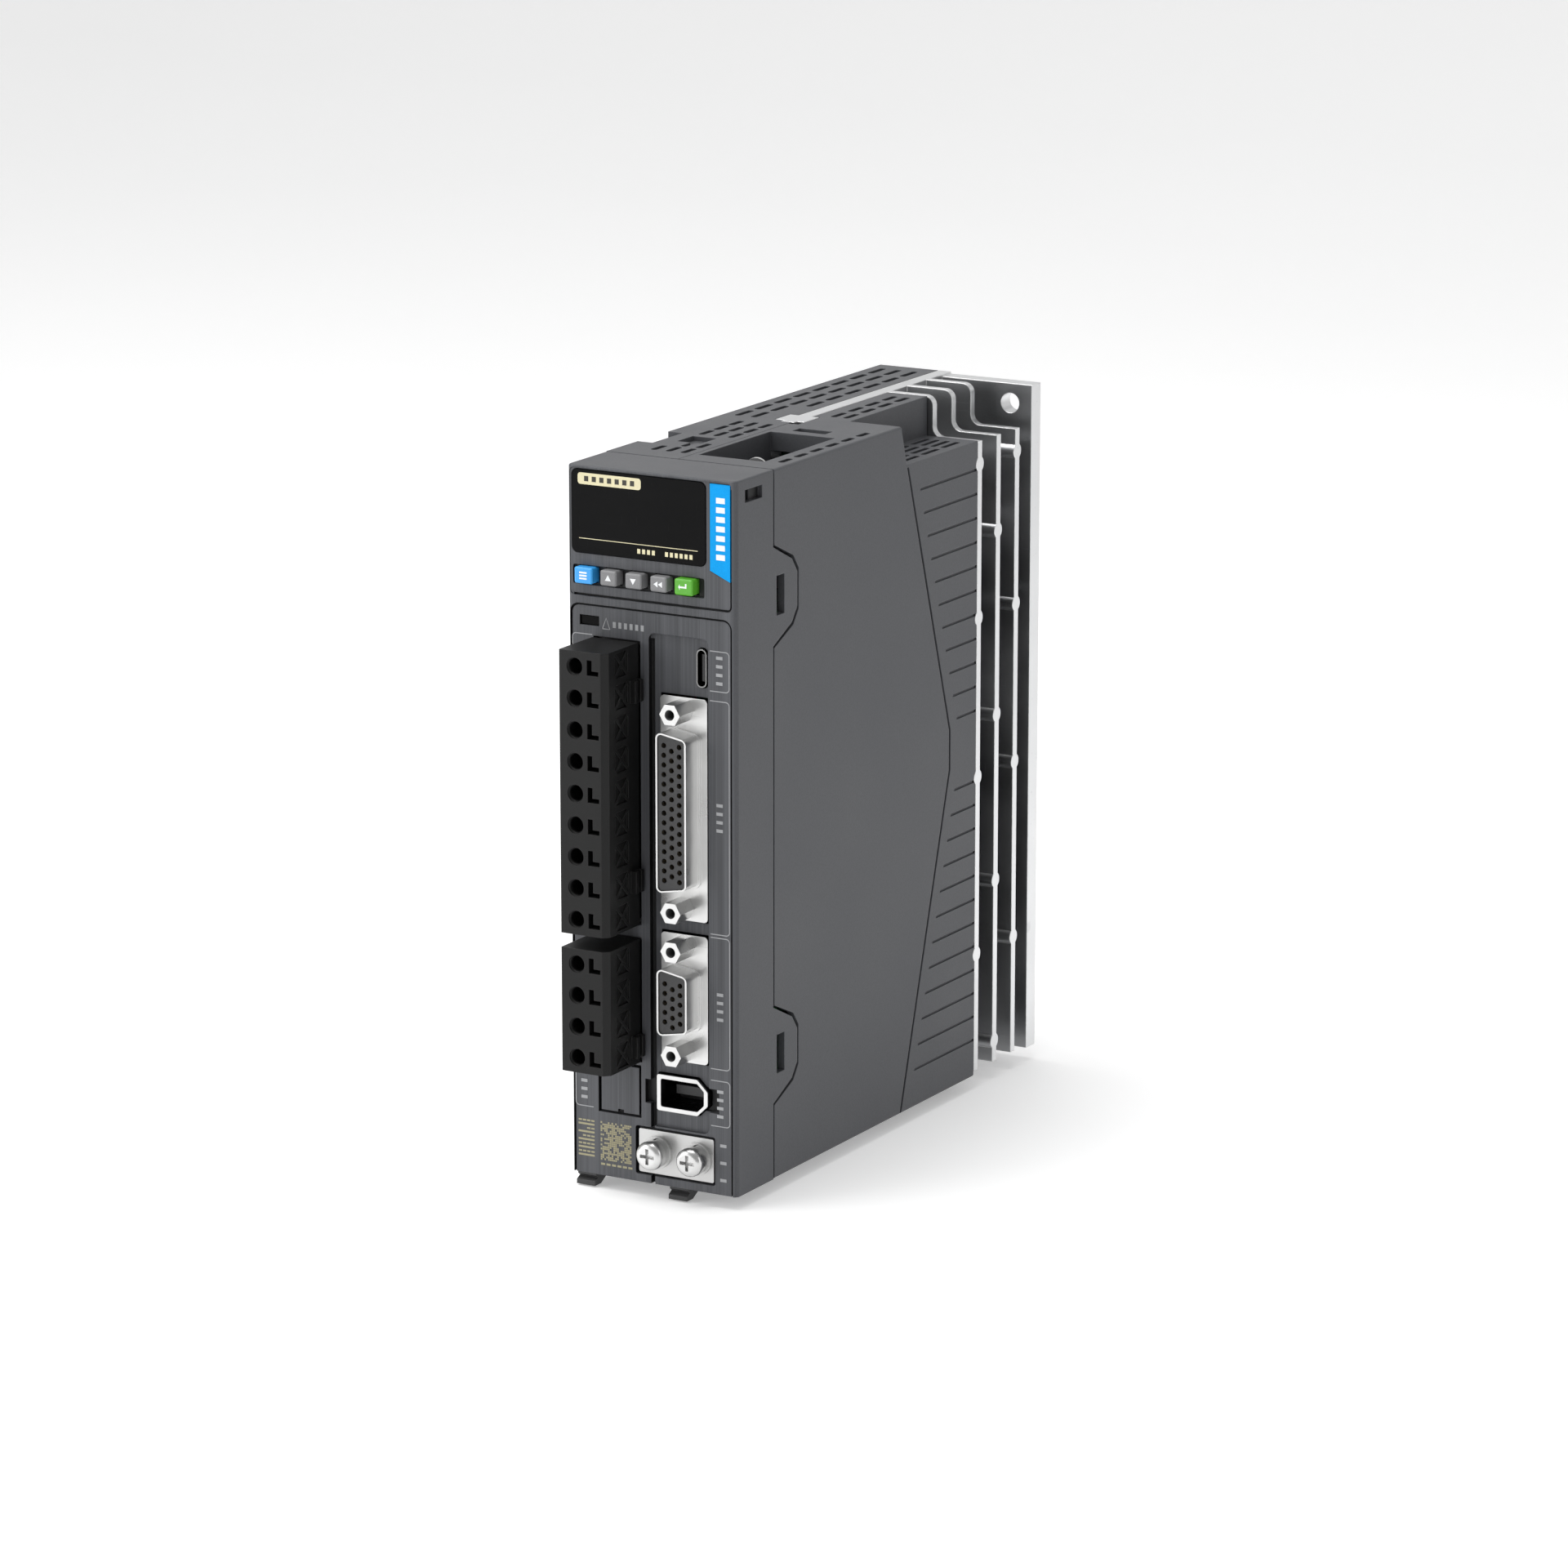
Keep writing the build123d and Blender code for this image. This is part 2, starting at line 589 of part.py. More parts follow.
def key(x, size):
    """Key cap with a retaining flange and a stem that meets its switch."""
    wide, tall = size
    cap = block(x - wide / 2, x + wide / 2, -KEY_PROUD, PANEL + 0.4, KEY_Z - tall / 2, KEY_Z + tall / 2)
    cap = fillet(cap.edges().filter_by(Axis.Y), 0.5)
    rim = [edge for edge in cap.edges() if abs(edge.center().Y + KEY_PROUD) < 0.01]
    cap = chamfer(rim, 0.3)
    half_x = wide / 2 + KEY_FLANGE
    half_z = tall / 2 + KEY_FLANGE
    cap += block(x - half_x, x + half_x, PANEL + 0.3, PANEL + 1.0, KEY_Z - half_z, KEY_Z + half_z)
    cap += block(x - 0.9, x + 0.9, PANEL + 0.9, STEM_END, KEY_Z - 0.9, KEY_Z + 0.9)
    return cap


def key_switches():
    """Five tactile switches on the display board."""
    switches = []
    for _, x, _ in key_places():
        body = block(x - 2.4, x + 2.4, SWITCH_FACE + 0.7, DISPLAY_BOARD_Y, KEY_Z - 2.4, KEY_Z + 2.4)
        switches.append(body + rod_y(x, KEY_Z, 1.0, SWITCH_FACE, SWITCH_FACE + 0.8))
    return group(switches)


def display_board():
    """Small board behind the operator panel."""
    return block(3.0, 42.0, DISPLAY_BOARD_Y, DISPLAY_BOARD_Y + BOARD_THICK, 139.0, 167.0)


def digit_display():
    """Five-digit numeric display with sunk segments."""
    body = block(5.0, 33.0, 2.2, DISPLAY_BOARD_Y, 154.6, 165.4)
    for x in spread(8.4, 5.4, 5):
        for z in (156.6, 160.0, 163.4):
            body -= block(x - 1.4, x + 1.4, 2.0, 2.5, z - 0.3, z + 0.3)
        for side in (-1.75, 1.75):
            for z in (158.3, 161.7):
                body -= block(x + side - 0.3, x + side + 0.3, 2.0, 2.5, z - 1.2, z + 1.2)
    return body


def charge_lamp_lens():
    """Dark lens with a light pipe, in the lamp opening."""
    lens = block(*LAMP_X, 0.8, 4.0, *LAMP_Z)
    return lens + block(4.7, 6.7, 3.9, 12.0, 132.9, 134.3)


# ---------------------------------------------------------------- pluggable terminals
def way_heights(bottom, ways):
    """Height of each pole, from the top down."""
    return [bottom + PLUG_PITCH * (index + 0.5) for index in reversed(range(ways))]


def lever_slot(z):
    """L-shaped opening for the release lever of one pole."""
    low = z - LEVER_TALL / 2
    upright = block(LEVER_X, LEVER_X + 1.3, -PLUG_PROUD - 1, -PLUG_PROUD + 6, low, low + LEVER_TALL)
    foot = block(LEVER_X, LEVER_X + LEVER_WIDE, -PLUG_PROUD - 1, -PLUG_PROUD + 6, low, low + 1.1)
    return upright + foot


def side_relief(z):
    """Four shallow triangles on the plug's right side that leave a raised cross."""
    y_mid = -PLUG_PROUD + 7.0
    reach = 2.9
    cuts = []
    for dy, dz in ((1, 0), (-1, 0), (0, 1), (0, -1)):
        tip = (y_mid + dy * 0.5, z + dz * 0.5)
        left = (y_mid + dy * reach + dz * (reach - 0.5), z + dz * reach + dy * (reach - 0.5))
        right = (y_mid + dy * reach - dz * (reach - 0.5), z + dz * reach - dy * (reach - 0.5))
        cuts.append(slab_x(outline(tip, left, right), PLUG_RIGHT - 0.5, PLUG_RIGHT + 1))
    return cuts


def plug_latch(z):
    """Spring latch on the plug's right side, at the panel."""
    tab = block(PLUG_RIGHT - 0.5, PLUG_RIGHT + 1.5, -4.2, -0.6, z - 2.6, z + 2.6)
    return tab - block(PLUG_RIGHT + 0.4, PLUG_RIGHT + 2, -3.0, -1.8, z - 3, z + 3)


def plug_housing(bottom, ways, latches):
    """Cable plug: outer body with wire entries, and a nose that enters the header."""
    top = bottom + ways * PLUG_PITCH
    body = block(PLUG_LEFT, PLUG_RIGHT, -PLUG_PROUD, -0.3, bottom + 0.1, top - 0.1)
    front_right = [
        e
        for e in body.edges().filter_by(Axis.Z)
        if abs(e.center().Y + PLUG_PROUD) < 0.01 and abs(e.center().X - PLUG_RIGHT) < 0.01
    ]
    body = chamfer(front_right, PLUG_CHAMFER)
    wall = HEADER_WALL + FIT_GAP
    nose = block(PLUG_LEFT + wall, PLUG_RIGHT - wall, -0.5, NOSE_END, bottom + wall, top - wall)
    body += nose
    for z in way_heights(bottom, ways):
        body -= rod_y(WIRE_X, z, WIRE_RADIUS, -PLUG_PROUD - 1, -3.9)
        body -= lever_slot(z)
        body -= block(8.4, 17.0, -4.0, -0.2, z - 3.1, z + 3.1)
        body -= block(PIN_X - 1.5, PIN_X + 1.5, -1, NOSE_END + 1, z - 1.5, z + 1.5)
        body -= side_relief(z)
    body += [plug_latch(z) for z in latches]
    return body


def plug_clamps(bottom, ways):
    """Spring cage of each pole: wire hole in front, pin socket behind."""
    clamps = []
    for z in way_heights(bottom, ways):
        cage = block(8.6, 16.8, -3.8, -0.5, z - 2.9, z + 2.9)
        cage += block(PIN_X - 1.35, PIN_X + 1.35, -0.6, 9.6, z - 1.35, z + 1.35)
        cage -= rod_y(WIRE_X, z, 1.7, -5, -1.5)
        cage -= block(PIN_X - 0.8, PIN_X + 0.8, 1.0, 10, z - 0.8, z + 0.8)
        clamps.append(cage)
    return group(clamps)


def header_shroud(bottom, ways):
    """Fixed socket on the board that takes the plug's nose."""
    top = bottom + ways * PLUG_PITCH
    body = block(PLUG_LEFT, PLUG_RIGHT, HEADER_FRONT, HEADER_BACK, bottom, top)
    wall = HEADER_WALL
    body -= block(PLUG_LEFT + wall, PLUG_RIGHT - wall, 0, HEADER_FLOOR, bottom + wall, top - wall)
    half = PIN_SIZE / 2
    for z in way_heights(bottom, ways):
        body -= block(PIN_X - half, PIN_X + half, HEADER_FLOOR - 1, HEADER_BACK + 1, z - half, z + half)
    return body


def header_pins(bottom, ways):
    """Angled pins from the header down to the power board."""
    pins = []
    half = PIN_SIZE / 2
    for z in way_heights(bottom, ways):
        pin = block(PIN_X - half, PIN_X + half, 3.4, 15.4, z - half, z + half)
        leg = block(POWER_BOARD_X - 0.8, PIN_X + half, 14.4, 15.4, z - half, z + half)
        pins.append(pin + leg)
    return group(pins)


def port_blank_cover():
    """Snap-in blank over the unused port."""
    plate = block(8.1, 18.4, 0.4, 1.2, 16.2, 27.7)
    plate += block(9.2, 17.4, 1.1, 2.6, 17.4, 26.4)
    plate -= block(12.6, 14.2, 0, 1.3, 15.5, 16.9)
    for z0 in (17.4, 25.4):
        plate += block(11.0, 15.6, 2.5, 6.0, z0, z0 + 1.0)
    return plate


# ---------------------------------------------------------------- signal connectors
def d_outline(centre_z, wide, length, radius):
    """D-shaped outline, longer on its left side."""
    lean = wide * tan(radians(D_LEAN))
    half = length / 2
    left = CONNECTOR_X - wide / 2
    right = CONNECTOR_X + wide / 2
    shape = outline(
        (left, centre_z - half),
        (right, centre_z - half + lean),
        (right, centre_z + half - lean),
        (left, centre_z + half),
    )
    return fillet(shape.vertices(), radius)


def contact_spots(centre_z, rows):
    """Centres of the contact holes, staggered row by row."""
    spots = []
    longest = max(rows)
    for row, count in enumerate(rows):
        x = CONNECTOR_X + (row - 1) * CONTACT_ROW
        shift = 0.0
        if min(rows) == longest and row == 1:
            shift = CONTACT_PITCH / 2
        first = centre_z - (count - 1) * CONTACT_PITCH / 2 - shift
        spots += [(x, z) for z in spread(first, CONTACT_PITCH, count)]
    return spots


def connector_shell(centre_z, flange, length, jacks):
    """Drawn metal shell with its flange."""
    low = centre_z - flange / 2
    plate = slab_y(
        rounded(FLANGE_LEFT, FLANGE_RIGHT, low, low + flange, 1.0),
        FLANGE_FRONT,
        FLANGE_FRONT + FLANGE_THICK,
    )
    root = d_outline(centre_z, SHELL_WIDE + 1.2, length + 1.2, 1.8)
    skirt = slab_y(root, FLANGE_FRONT - 0.7, FLANGE_FRONT + 0.1)
    sleeve = d_outline(centre_z, SHELL_WIDE, length, 1.4)
    tube = slab_y(sleeve, FLANGE_FRONT - SHELL_PROUD, FLANGE_FRONT + 0.1)
    inner = slab_y(
        d_outline(centre_z, SHELL_WIDE - 2 * SHELL_WALL, length - 2 * SHELL_WALL, 1.0),
        -SHELL_PROUD - 1,
        FLANGE_FRONT + FLANGE_THICK + 1,
    )
    shell = plate + skirt + tube
    shell -= inner
    shell -= [rod_y(CONNECTOR_X, centre_z + side * jacks / 2, 1.6, -1, 3) for side in (-1, 1)]
    return shell


def connector_insulator(centre_z, length, rows):
    """Moulded insulator with its contact holes and its foot at the board."""
    gap = 2 * SHELL_WALL + 0.1
    front = FLANGE_FRONT - SHELL_PROUD + 0.4
    face = slab_y(d_outline(centre_z, SHELL_WIDE - gap, length - gap, 0.95), front, PANEL + 0.5)
    foot_front = PANEL + 0.15
    foot = block(
        CONNECTOR_X - 4.6, CONTROL_BOARD_X, foot_front, 12.5, centre_z - length / 2, centre_z + length / 2
    )
    body = face + foot
    body -= [rod_y(x, z, CONTACT_HOLE, -SHELL_PROUD - 1, 13) for x, z in contact_spots(centre_z, rows)]
    return body


def signal_contacts():
    """Contacts of both signal connectors."""
    pins = []
    for centre_z, rows in ((IO_CENTRE_Z, IO_ROWS), (FEEDBACK_CENTRE_Z, FEEDBACK_ROWS)):
        for x, z in contact_spots(centre_z, rows):
            pins.append(rod_y(x, z, CONTACT_RADIUS, -3.8, 13.5))
    return group(pins)


def connector_jackscrews():
    """Hexagonal jack screws with threaded mouths, two per signal connector."""
    screws = []
    hexagon = RegularPolygon(JACK_FLATS / 2, 6, major_radius=False)
    for centre_z, spacing in ((IO_CENTRE_Z, IO_JACKS), (FEEDBACK_CENTRE_Z, FEEDBACK_JACKS)):
        for side in (-1, 1):
            z = centre_z + side * spacing / 2
            body = slab_y(Pos(CONNECTOR_X, z) * hexagon, FLANGE_FRONT - JACK_PROUD, FLANGE_FRONT)
            body += rod_y(CONNECTOR_X, z, 1.45, FLANGE_FRONT - 0.1, 6.0)
            body -= rod_y(CONNECTOR_X, z, JACK_THREAD, FLANGE_FRONT - JACK_PROUD - 1, FLANGE_FRONT - 0.4)
            screws.append(body)
    return group(screws)


def encoder_outline(grow=0.0):
    """Socket mouth: square on the left, pointed on the right."""
    mid = (ENCODER_BOTTOM + ENCODER_TOP) / 2
    shape = outline(
        (ENCODER_LEFT - grow, ENCODER_BOTTOM - grow),
        (ENCODER_RIGHT - 2.8, ENCODER_BOTTOM - grow),
        (ENCODER_RIGHT + grow, mid - 1.7),
        (ENCODER_RIGHT + grow, mid + 1.7),
        (ENCODER_RIGHT - 2.8, ENCODER_TOP + grow),
        (ENCODER_LEFT - grow, ENCODER_TOP + grow),
    )
    return fillet(shape.vertices(), 0.6)


def encoder_socket_shell():
    """Metal frame of the motor feedback socket."""
    body = slab_y(encoder_outline(), 0.1, ENCODER_BACK)
    return body - slab_y(encoder_outline(-ENCODER_WALL), -1, ENCODER_BACK + 1)


def encoder_socket_insert():
    """Insulator at the back of the socket with its tongue."""
    body = slab_y(encoder_outline(-ENCODER_WALL - 0.05), 9.0, ENCODER_BACK)
    return body + block(26.2, 33.6, 4.4, 9.5, 21.7, 23.9)


def usb_outline(grow=0.0):
    """Upright stadium of the service socket."""
    slot = SlotOverall(USB_TALL + 2 * grow, USB_WIDE + 2 * grow)
    return Pos(USB_X, USB_Z) * Rot(0, 0, 90) * slot


def usb_socket_shell():
    """Metal sleeve of the service socket."""
    body = slab_y(usb_outline(), 0.6, 8.6)
    return body - slab_y(usb_outline(-0.3), 0, 9)


def usb_socket_insert():
    """Insulator and tongue of the service socket."""
    body = slab_y(usb_outline(-0.35), 7.0, 8.6)
    return body + block(USB_X - 0.35, USB_X + 0.35, 1.6, 7.2, USB_Z - 3.2, USB_Z + 3.2)


def jack_mouths(x0, x1, z0):
    """Mouths of the two network sockets with their latch notches, facing up."""
    cuts = []
    for y in (27.6, 43.9):
        cuts.append(block(x0, x1, y, y + 11.7, z0, NETWORK_TOP + 1))
        cuts.append(block(x1 - 0.5, x1 + 1.6, y + 2.8, y + 8.9, z0 + 4, NETWORK_TOP + 1))
    return cuts


def network_block(inset, z0, z1):
    """Box that fills the network pocket apart from an even inset."""
    return block(
        NETWORK_LEFT + inset,
        NETWORK_RIGHT - inset,
        NETWORK_FRONT + 1.0 + inset,
        NETWORK_BACK - inset,
        z0,
        z1,
    )


def network_port_shell():
    """Shield around the two network sockets, with a drilled lug."""
    body = network_block(0.2, 139.0, NETWORK_TOP)
    body -= network_block(0.7, 138.0, NETWORK_TOP - 0.5)
    body -= jack_mouths(22.6, 30.8, 150.0)
    lug = slab_y(rounded(LUG_X - 2.9, LUG_X + 2.9, 158.0, HEIGHT - 0.1, 2.8), LUG_Y, LUG_Y + 0.6)
    lug -= rod_y(LUG_X, 167.4, 1.4, LUG_Y - 1, LUG_Y + 1)
    lug -= block(NETWORK_LEFT, NETWORK_RIGHT, LUG_Y - 1, LUG_Y + 1, 157.0, NETWORK_TOP - 0.4)
    return body + lug


def network_port_insert():
    """Insulator of the two network sockets."""
    body = network_block(0.8, 138.6, NETWORK_TOP - 0.6)
    body -= jack_mouths(22.8, 30.6, 149.0)
    return body


# ---------------------------------------------------------------- earth terminals
def ground_plate():
    """Plated earth bracket: upright face with two holes and a foot that runs back."""
    back = EARTH_FRONT + EARTH_THICK
    plate = slab_y(rounded(EARTH_LEFT, EARTH_RIGHT, EARTH_BOTTOM, EARTH_TOP, 0.5), EARTH_FRONT, back)
    foot = block(EARTH_LEFT + 2.0, EARTH_RIGHT - 2.0, back - 0.1, 64.0, EARTH_BOTTOM, EARTH_BOTTOM + 1.5)
    plate += foot
    plate -= [rod_y(x, EARTH_SCREW_Z, M4_RADIUS + 0.05, 0, 4) for x in EARTH_SCREWS]
    return plate


def ground_screws():
    """Cross-recessed pan-head screws."""
    screws = []
    for x in EARTH_SCREWS:
        head = rod_y(x, EARTH_SCREW_Z, 3.5, -4.5, -1.7)
        rim = [e for e in head.edges() if abs(e.center().Y + 4.5) < 0.01]
        head = fillet(rim, 1.5)
        for wide, tall in ((3.8, 0.8), (0.8, 3.8)):
            head -= block(
                x - wide / 2, x + wide / 2, -5, -2.9, EARTH_SCREW_Z - tall / 2, EARTH_SCREW_Z + tall / 2
            )
        screws.append(head + rod_y(x, EARTH_SCREW_Z, M4_RADIUS, -1.8, 6.0))
    return group(screws)


def ring(x, radius, bore, y0, y1):
    """Washer on an earth screw."""
    return rod_y(x, EARTH_SCREW_Z, radius, y0, y1) - rod_y(x, EARTH_SCREW_Z, bore, y0 - 1, y1 + 1)


def ground_washers():
    """Flat washers against the earth plate."""
    return group([ring(x, 3.9, 2.15, -0.2, EARTH_FRONT) for x in EARTH_SCREWS])


def spring_washers():
    """Split lock washers under the screw heads."""
    washers = []
    for x in EARTH_SCREWS:
        washer = ring(x, 3.4, 2.1, -1.7, -0.2)
        washers.append(washer - block(x - 0.3, x + 0.3, -2, 0, EARTH_SCREW_Z + 1, EARTH_SCREW_Z + 5))
    return group(washers)


def bracket_hooks():
    """Two hooks below the front edge that hold a cable-clamp bracket."""
    side = outline((0.8, 0.0), (8.5, 0.0), (3.0, -3.0), (0.2, -3.0), (0.2, -1.9), (1.6, -1.2), (0.8, -0.6))
    return group([slab_x(side, x0, x0 + 5.0) for x0 in (1.2, 26.4)])


# ---------------------------------------------------------------- electronics
def power_board():
    """Tall board on the left that carries the power circuit."""
    right = POWER_BOARD_X + BOARD_THICK
    body = block(POWER_BOARD_X, right, 12.0, 146.0, 5.0, 164.0)
    body -= [rod_x(y, z, POST_RADIUS + 0.3, 0, 10) for y, z in POST_SPOTS]
    body -= [rod_x(y, z, 1.45, 0, 10) for y, z in STANDOFFS]
    half = PIN_SIZE / 2
    for bottom, ways in ((POWER_BOTTOM, POWER_WAYS), (MOTOR_BOTTOM, MOTOR_WAYS)):
        for z in way_heights(bottom, ways):
            body -= block(0, 10, 14.4, 15.4, z - half, z + half)
    return body


def control_board():
    """Board on the right that carries the signal connectors."""
    body = block(CONTROL_BOARD_X, CONTROL_BOARD_X + BOARD_THICK, 3.0, 69.0, 15.0, 136.5)
    return body - [rod_x(y, z, 1.45, 30, 45) for y, z in CONTROL_POSTS]


def board_standoffs():
    """Threaded spacers between the boards and the side walls."""
    spacers = [rod_x(y, z, 2.6, WALL, POWER_BOARD_X) - rod_x(y, z, 1.25, 0, 10) for y, z in STANDOFFS]
    wall_x = WIDTH - WALL
    for y, z in CONTROL_POSTS:
        post = rod_x(y, z, 2.6, CONTROL_BOARD_X + BOARD_THICK, wall_x)
        spacers.append(post - rod_x(y, z, 1.25, 30, wall_x))
    return group(spacers)


def board_screws():
    """Screws that hold both boards to their spacers."""
    screws = []
    for y, z in STANDOFFS:
        face = POWER_BOARD_X + BOARD_THICK
        screws.append(rod_x(y, z, 2.5, face, face + 1.8) + rod_x(y, z, 1.2, 2.2, face + 0.1))
    for y, z in CONTROL_POSTS:
        face = CONTROL_BOARD_X
        screws.append(rod_x(y, z, 2.5, face - 1.8, face) + rod_x(y, z, 1.2, face - 0.1, WIDTH - WALL - 0.4))
    return group(screws)


def bus_capacitors():
    """Three storage capacitors lying across the drive."""
    start = POWER_BOARD_X + BOARD_THICK
    cans = []
    for z in spread(34.0, 25.0, 3):
        can = rod_x(47.0, z, 11.0, start, 35.0)
        can -= rod_x(47.0, z, 12.0, start + 2.0, start + 3.0) - rod_x(47.0, z, 10.5, start, start + 4)
        cans.append(can)
    return group(cans)


def power_module():
    """Inverter module against the heat sink wall, with its pins to the board."""
    body = block(11.5, SINK_LEFT - 0.4, 86.0, 129.0, 62.0, 94.0)
    body += block(13.2, SINK_LEFT - 0.4, 79.6, 135.4, 74.0, 82.0)
    body -= [rod_x(y, z, 1.7, 10, SINK_LEFT) for y, z in MODULE_SCREWS]
    for y in spread(88.5, 3.8, 11):
        body += block(POWER_BOARD_X + BOARD_THICK, 11.6, y - 0.4, y + 0.4, 64.0, 64.8)
        body += block(POWER_BOARD_X + BOARD_THICK, 11.6, y - 0.4, y + 0.4, 91.2, 92.0)
    return body


def rectifier_bridge():
    """Input rectifier against the heat sink wall."""
    body = block(12.3, SINK_LEFT - 0.4, 88.0, 118.0, 28.0, 48.0)
    for y in spread(91.0, 8.0, 4):
        body += block(POWER_BOARD_X + BOARD_THICK, 12.4, y - 0.6, y + 0.6, 30.0, 31.0)
    return body


def thermal_pads():
    """Heat-conducting pads behind the two power parts."""
    module = block(SINK_LEFT - 0.4, SINK_LEFT, 86.0, 129.0, 62.0, 94.0)
    bridge = block(SINK_LEFT - 0.4, SINK_LEFT, 88.0, 118.0, 28.0, 48.0)
    return group([module, bridge])


def module_screws():
    """Screws that clamp the inverter module to the heat sink."""
    screws = []
    for y, z in MODULE_SCREWS:
        screws.append(rod_x(y, z, 2.8, 11.2, 13.2) + rod_x(y, z, 1.5, 13.1, SINK_RIGHT - 0.8))
    return group(screws)


def charging_relay():
    """Relay that bypasses the charging resistor."""
    return block(POWER_BOARD_X + BOARD_THICK, 15.4, 100.0, 118.0, 112.0, 126.0)


def supply_transformer():
    """Transformer of the internal power supply."""
    start = POWER_BOARD_X + BOARD_THICK
    core = block(start, 15.6, 92.0, 114.0, 134.0, 152.0)
    return core + block(start, 14.6, 89.0, 117.0, 138.0, 148.0)


def filter_choke():
    """Ring choke at the mains input."""
    start = POWER_BOARD_X + BOARD_THICK
    return rod_x(30.0, 118.0, 9.5, start, 14.5) - rod_x(30.0, 118.0, 4.0, 0, 20)


def line_fuse():
    """Cartridge fuse at the mains input."""
    start = POWER_BOARD_X + BOARD_THICK
    return block(start, 11.5, 20.0, 42.0, 138.0, 144.0)


def current_sensors():
    """Two motor current sensors beside the motor header."""
    start = POWER_BOARD_X + BOARD_THICK
    return group([block(start, 12.0, 20.0, 33.0, z, z + 8.0) for z in (34.0, 48.0)])


def control_chips():
    """Processor, logic and memory packages on the control board."""
    left = CONTROL_BOARD_X - 1.3
    spots = ((38.0, 52.0, 70.0, 84.0), (40.0, 54.0, 96.0, 110.0), (42.0, 50.0, 54.0, 60.0))
    return group([block(left, CONTROL_BOARD_X, y0, y1, z0, z1) for y0, y1, z0, z1 in spots])


def board_link():
    """Tall connector that joins the power board to the control board."""
    return block(POWER_BOARD_X + BOARD_THICK, CONTROL_BOARD_X, 60.5, 66.5, 100.0, 126.0)


def display_link():
    """Connector behind the display board."""
    back = DISPLAY_BOARD_Y + BOARD_THICK
    return block(34.0, 41.0, back, back + 5.0, 139.5, 146.0)


def housing_screws():
    """Long screws that hold the left housing to the heat sink."""
    return group(
        [rod_x(y, z, 2.7, 0.2, 1.7) + rod_x(y, z, 1.2, 1.6, SINK_RIGHT - 0.8) for y, z in POST_SPOTS]
    )


# ---------------------------------------------------------------- export
def all_nodes():
    """Every node of the drive by name."""
    nodes = {
        "heat_sink": heat_sink(),
        "left_housing": left_housing(),
        "right_cover": right_cover(),
        "front_cover": front_cover(),
        "display_window": display_window(),
        "name_strip": name_strip(),
        "display_board": display_board(),
        "digit_display": digit_display(),
        "key_switches": key_switches(),
        "charge_lamp_lens": charge_lamp_lens(),
        "power_plug_housing": plug_housing(POWER_BOTTOM, POWER_WAYS, (119.0, 73.7)),
        "power_plug_clamps": plug_clamps(POWER_BOTTOM, POWER_WAYS),
        "power_header": header_shroud(POWER_BOTTOM, POWER_WAYS),
        "power_pins": header_pins(POWER_BOTTOM, POWER_WAYS),
        "motor_plug_housing": plug_housing(MOTOR_BOTTOM, MOTOR_WAYS, (33.9,)),
        "motor_plug_clamps": plug_clamps(MOTOR_BOTTOM, MOTOR_WAYS),
        "motor_header": header_shroud(MOTOR_BOTTOM, MOTOR_WAYS),
        "motor_pins": header_pins(MOTOR_BOTTOM, MOTOR_WAYS),
        "port_blank_cover": port_blank_cover(),
        "io_connector_shell": connector_shell(IO_CENTRE_Z, IO_FLANGE, IO_SHELL, IO_JACKS),
        "io_connector_insulator": connector_insulator(IO_CENTRE_Z, IO_SHELL, IO_ROWS),
        "feedback_connector_shell": connector_shell(
            FEEDBACK_CENTRE_Z, FEEDBACK_FLANGE, FEEDBACK_SHELL, FEEDBACK_JACKS
        ),
        "feedback_connector_insulator": connector_insulator(FEEDBACK_CENTRE_Z, FEEDBACK_SHELL, FEEDBACK_ROWS),
        "signal_contacts": signal_contacts(),
        "connector_jackscrews": connector_jackscrews(),
        "encoder_socket_shell": encoder_socket_shell(),
        "encoder_socket_insert": encoder_socket_insert(),
        "usb_socket_shell": usb_socket_shell(),
        "usb_socket_insert": usb_socket_insert(),
        "network_port_shell": network_port_shell(),
        "network_port_insert": network_port_insert(),
        "ground_plate": ground_plate(),
        "ground_screws": ground_screws(),
        "ground_washers": ground_washers(),
        "spring_washers": spring_washers(),
        "bracket_hooks": bracket_hooks(),
        "power_board": power_board(),
        "control_board": control_board(),
        "board_standoffs": board_standoffs(),
        "board_screws": board_screws(),
        "bus_capacitors": bus_capacitors(),
        "power_module": power_module(),
        "rectifier_bridge": rectifier_bridge(),
        "thermal_pads": thermal_pads(),
        "module_screws": module_screws(),
        "charging_relay": charging_relay(),
        "supply_transformer": supply_transformer(),
        "filter_choke": filter_choke(),
        "line_fuse": line_fuse(),
        "current_sensors": current_sensors(),
        "control_chips": control_chips(),
        "board_link": board_link(),
        "display_link": display_link(),
        "housing_screws": housing_screws(),
    }
    for name, x, size in key_places():
        nodes[name] = key(x, size)
    return nodes


def main():
    """Write one STEP file for each node."""
    os.makedirs("parts", exist_ok=True)
    for name, shape in all_nodes().items():
        export_step(PLACE * shape, f"parts/{name}.step")


if __name__ == "__main__":
    main()
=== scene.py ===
"""Finish and studio for the servo drive: printed marks, moulded and cast surfaces, light and camera."""
import json
import math

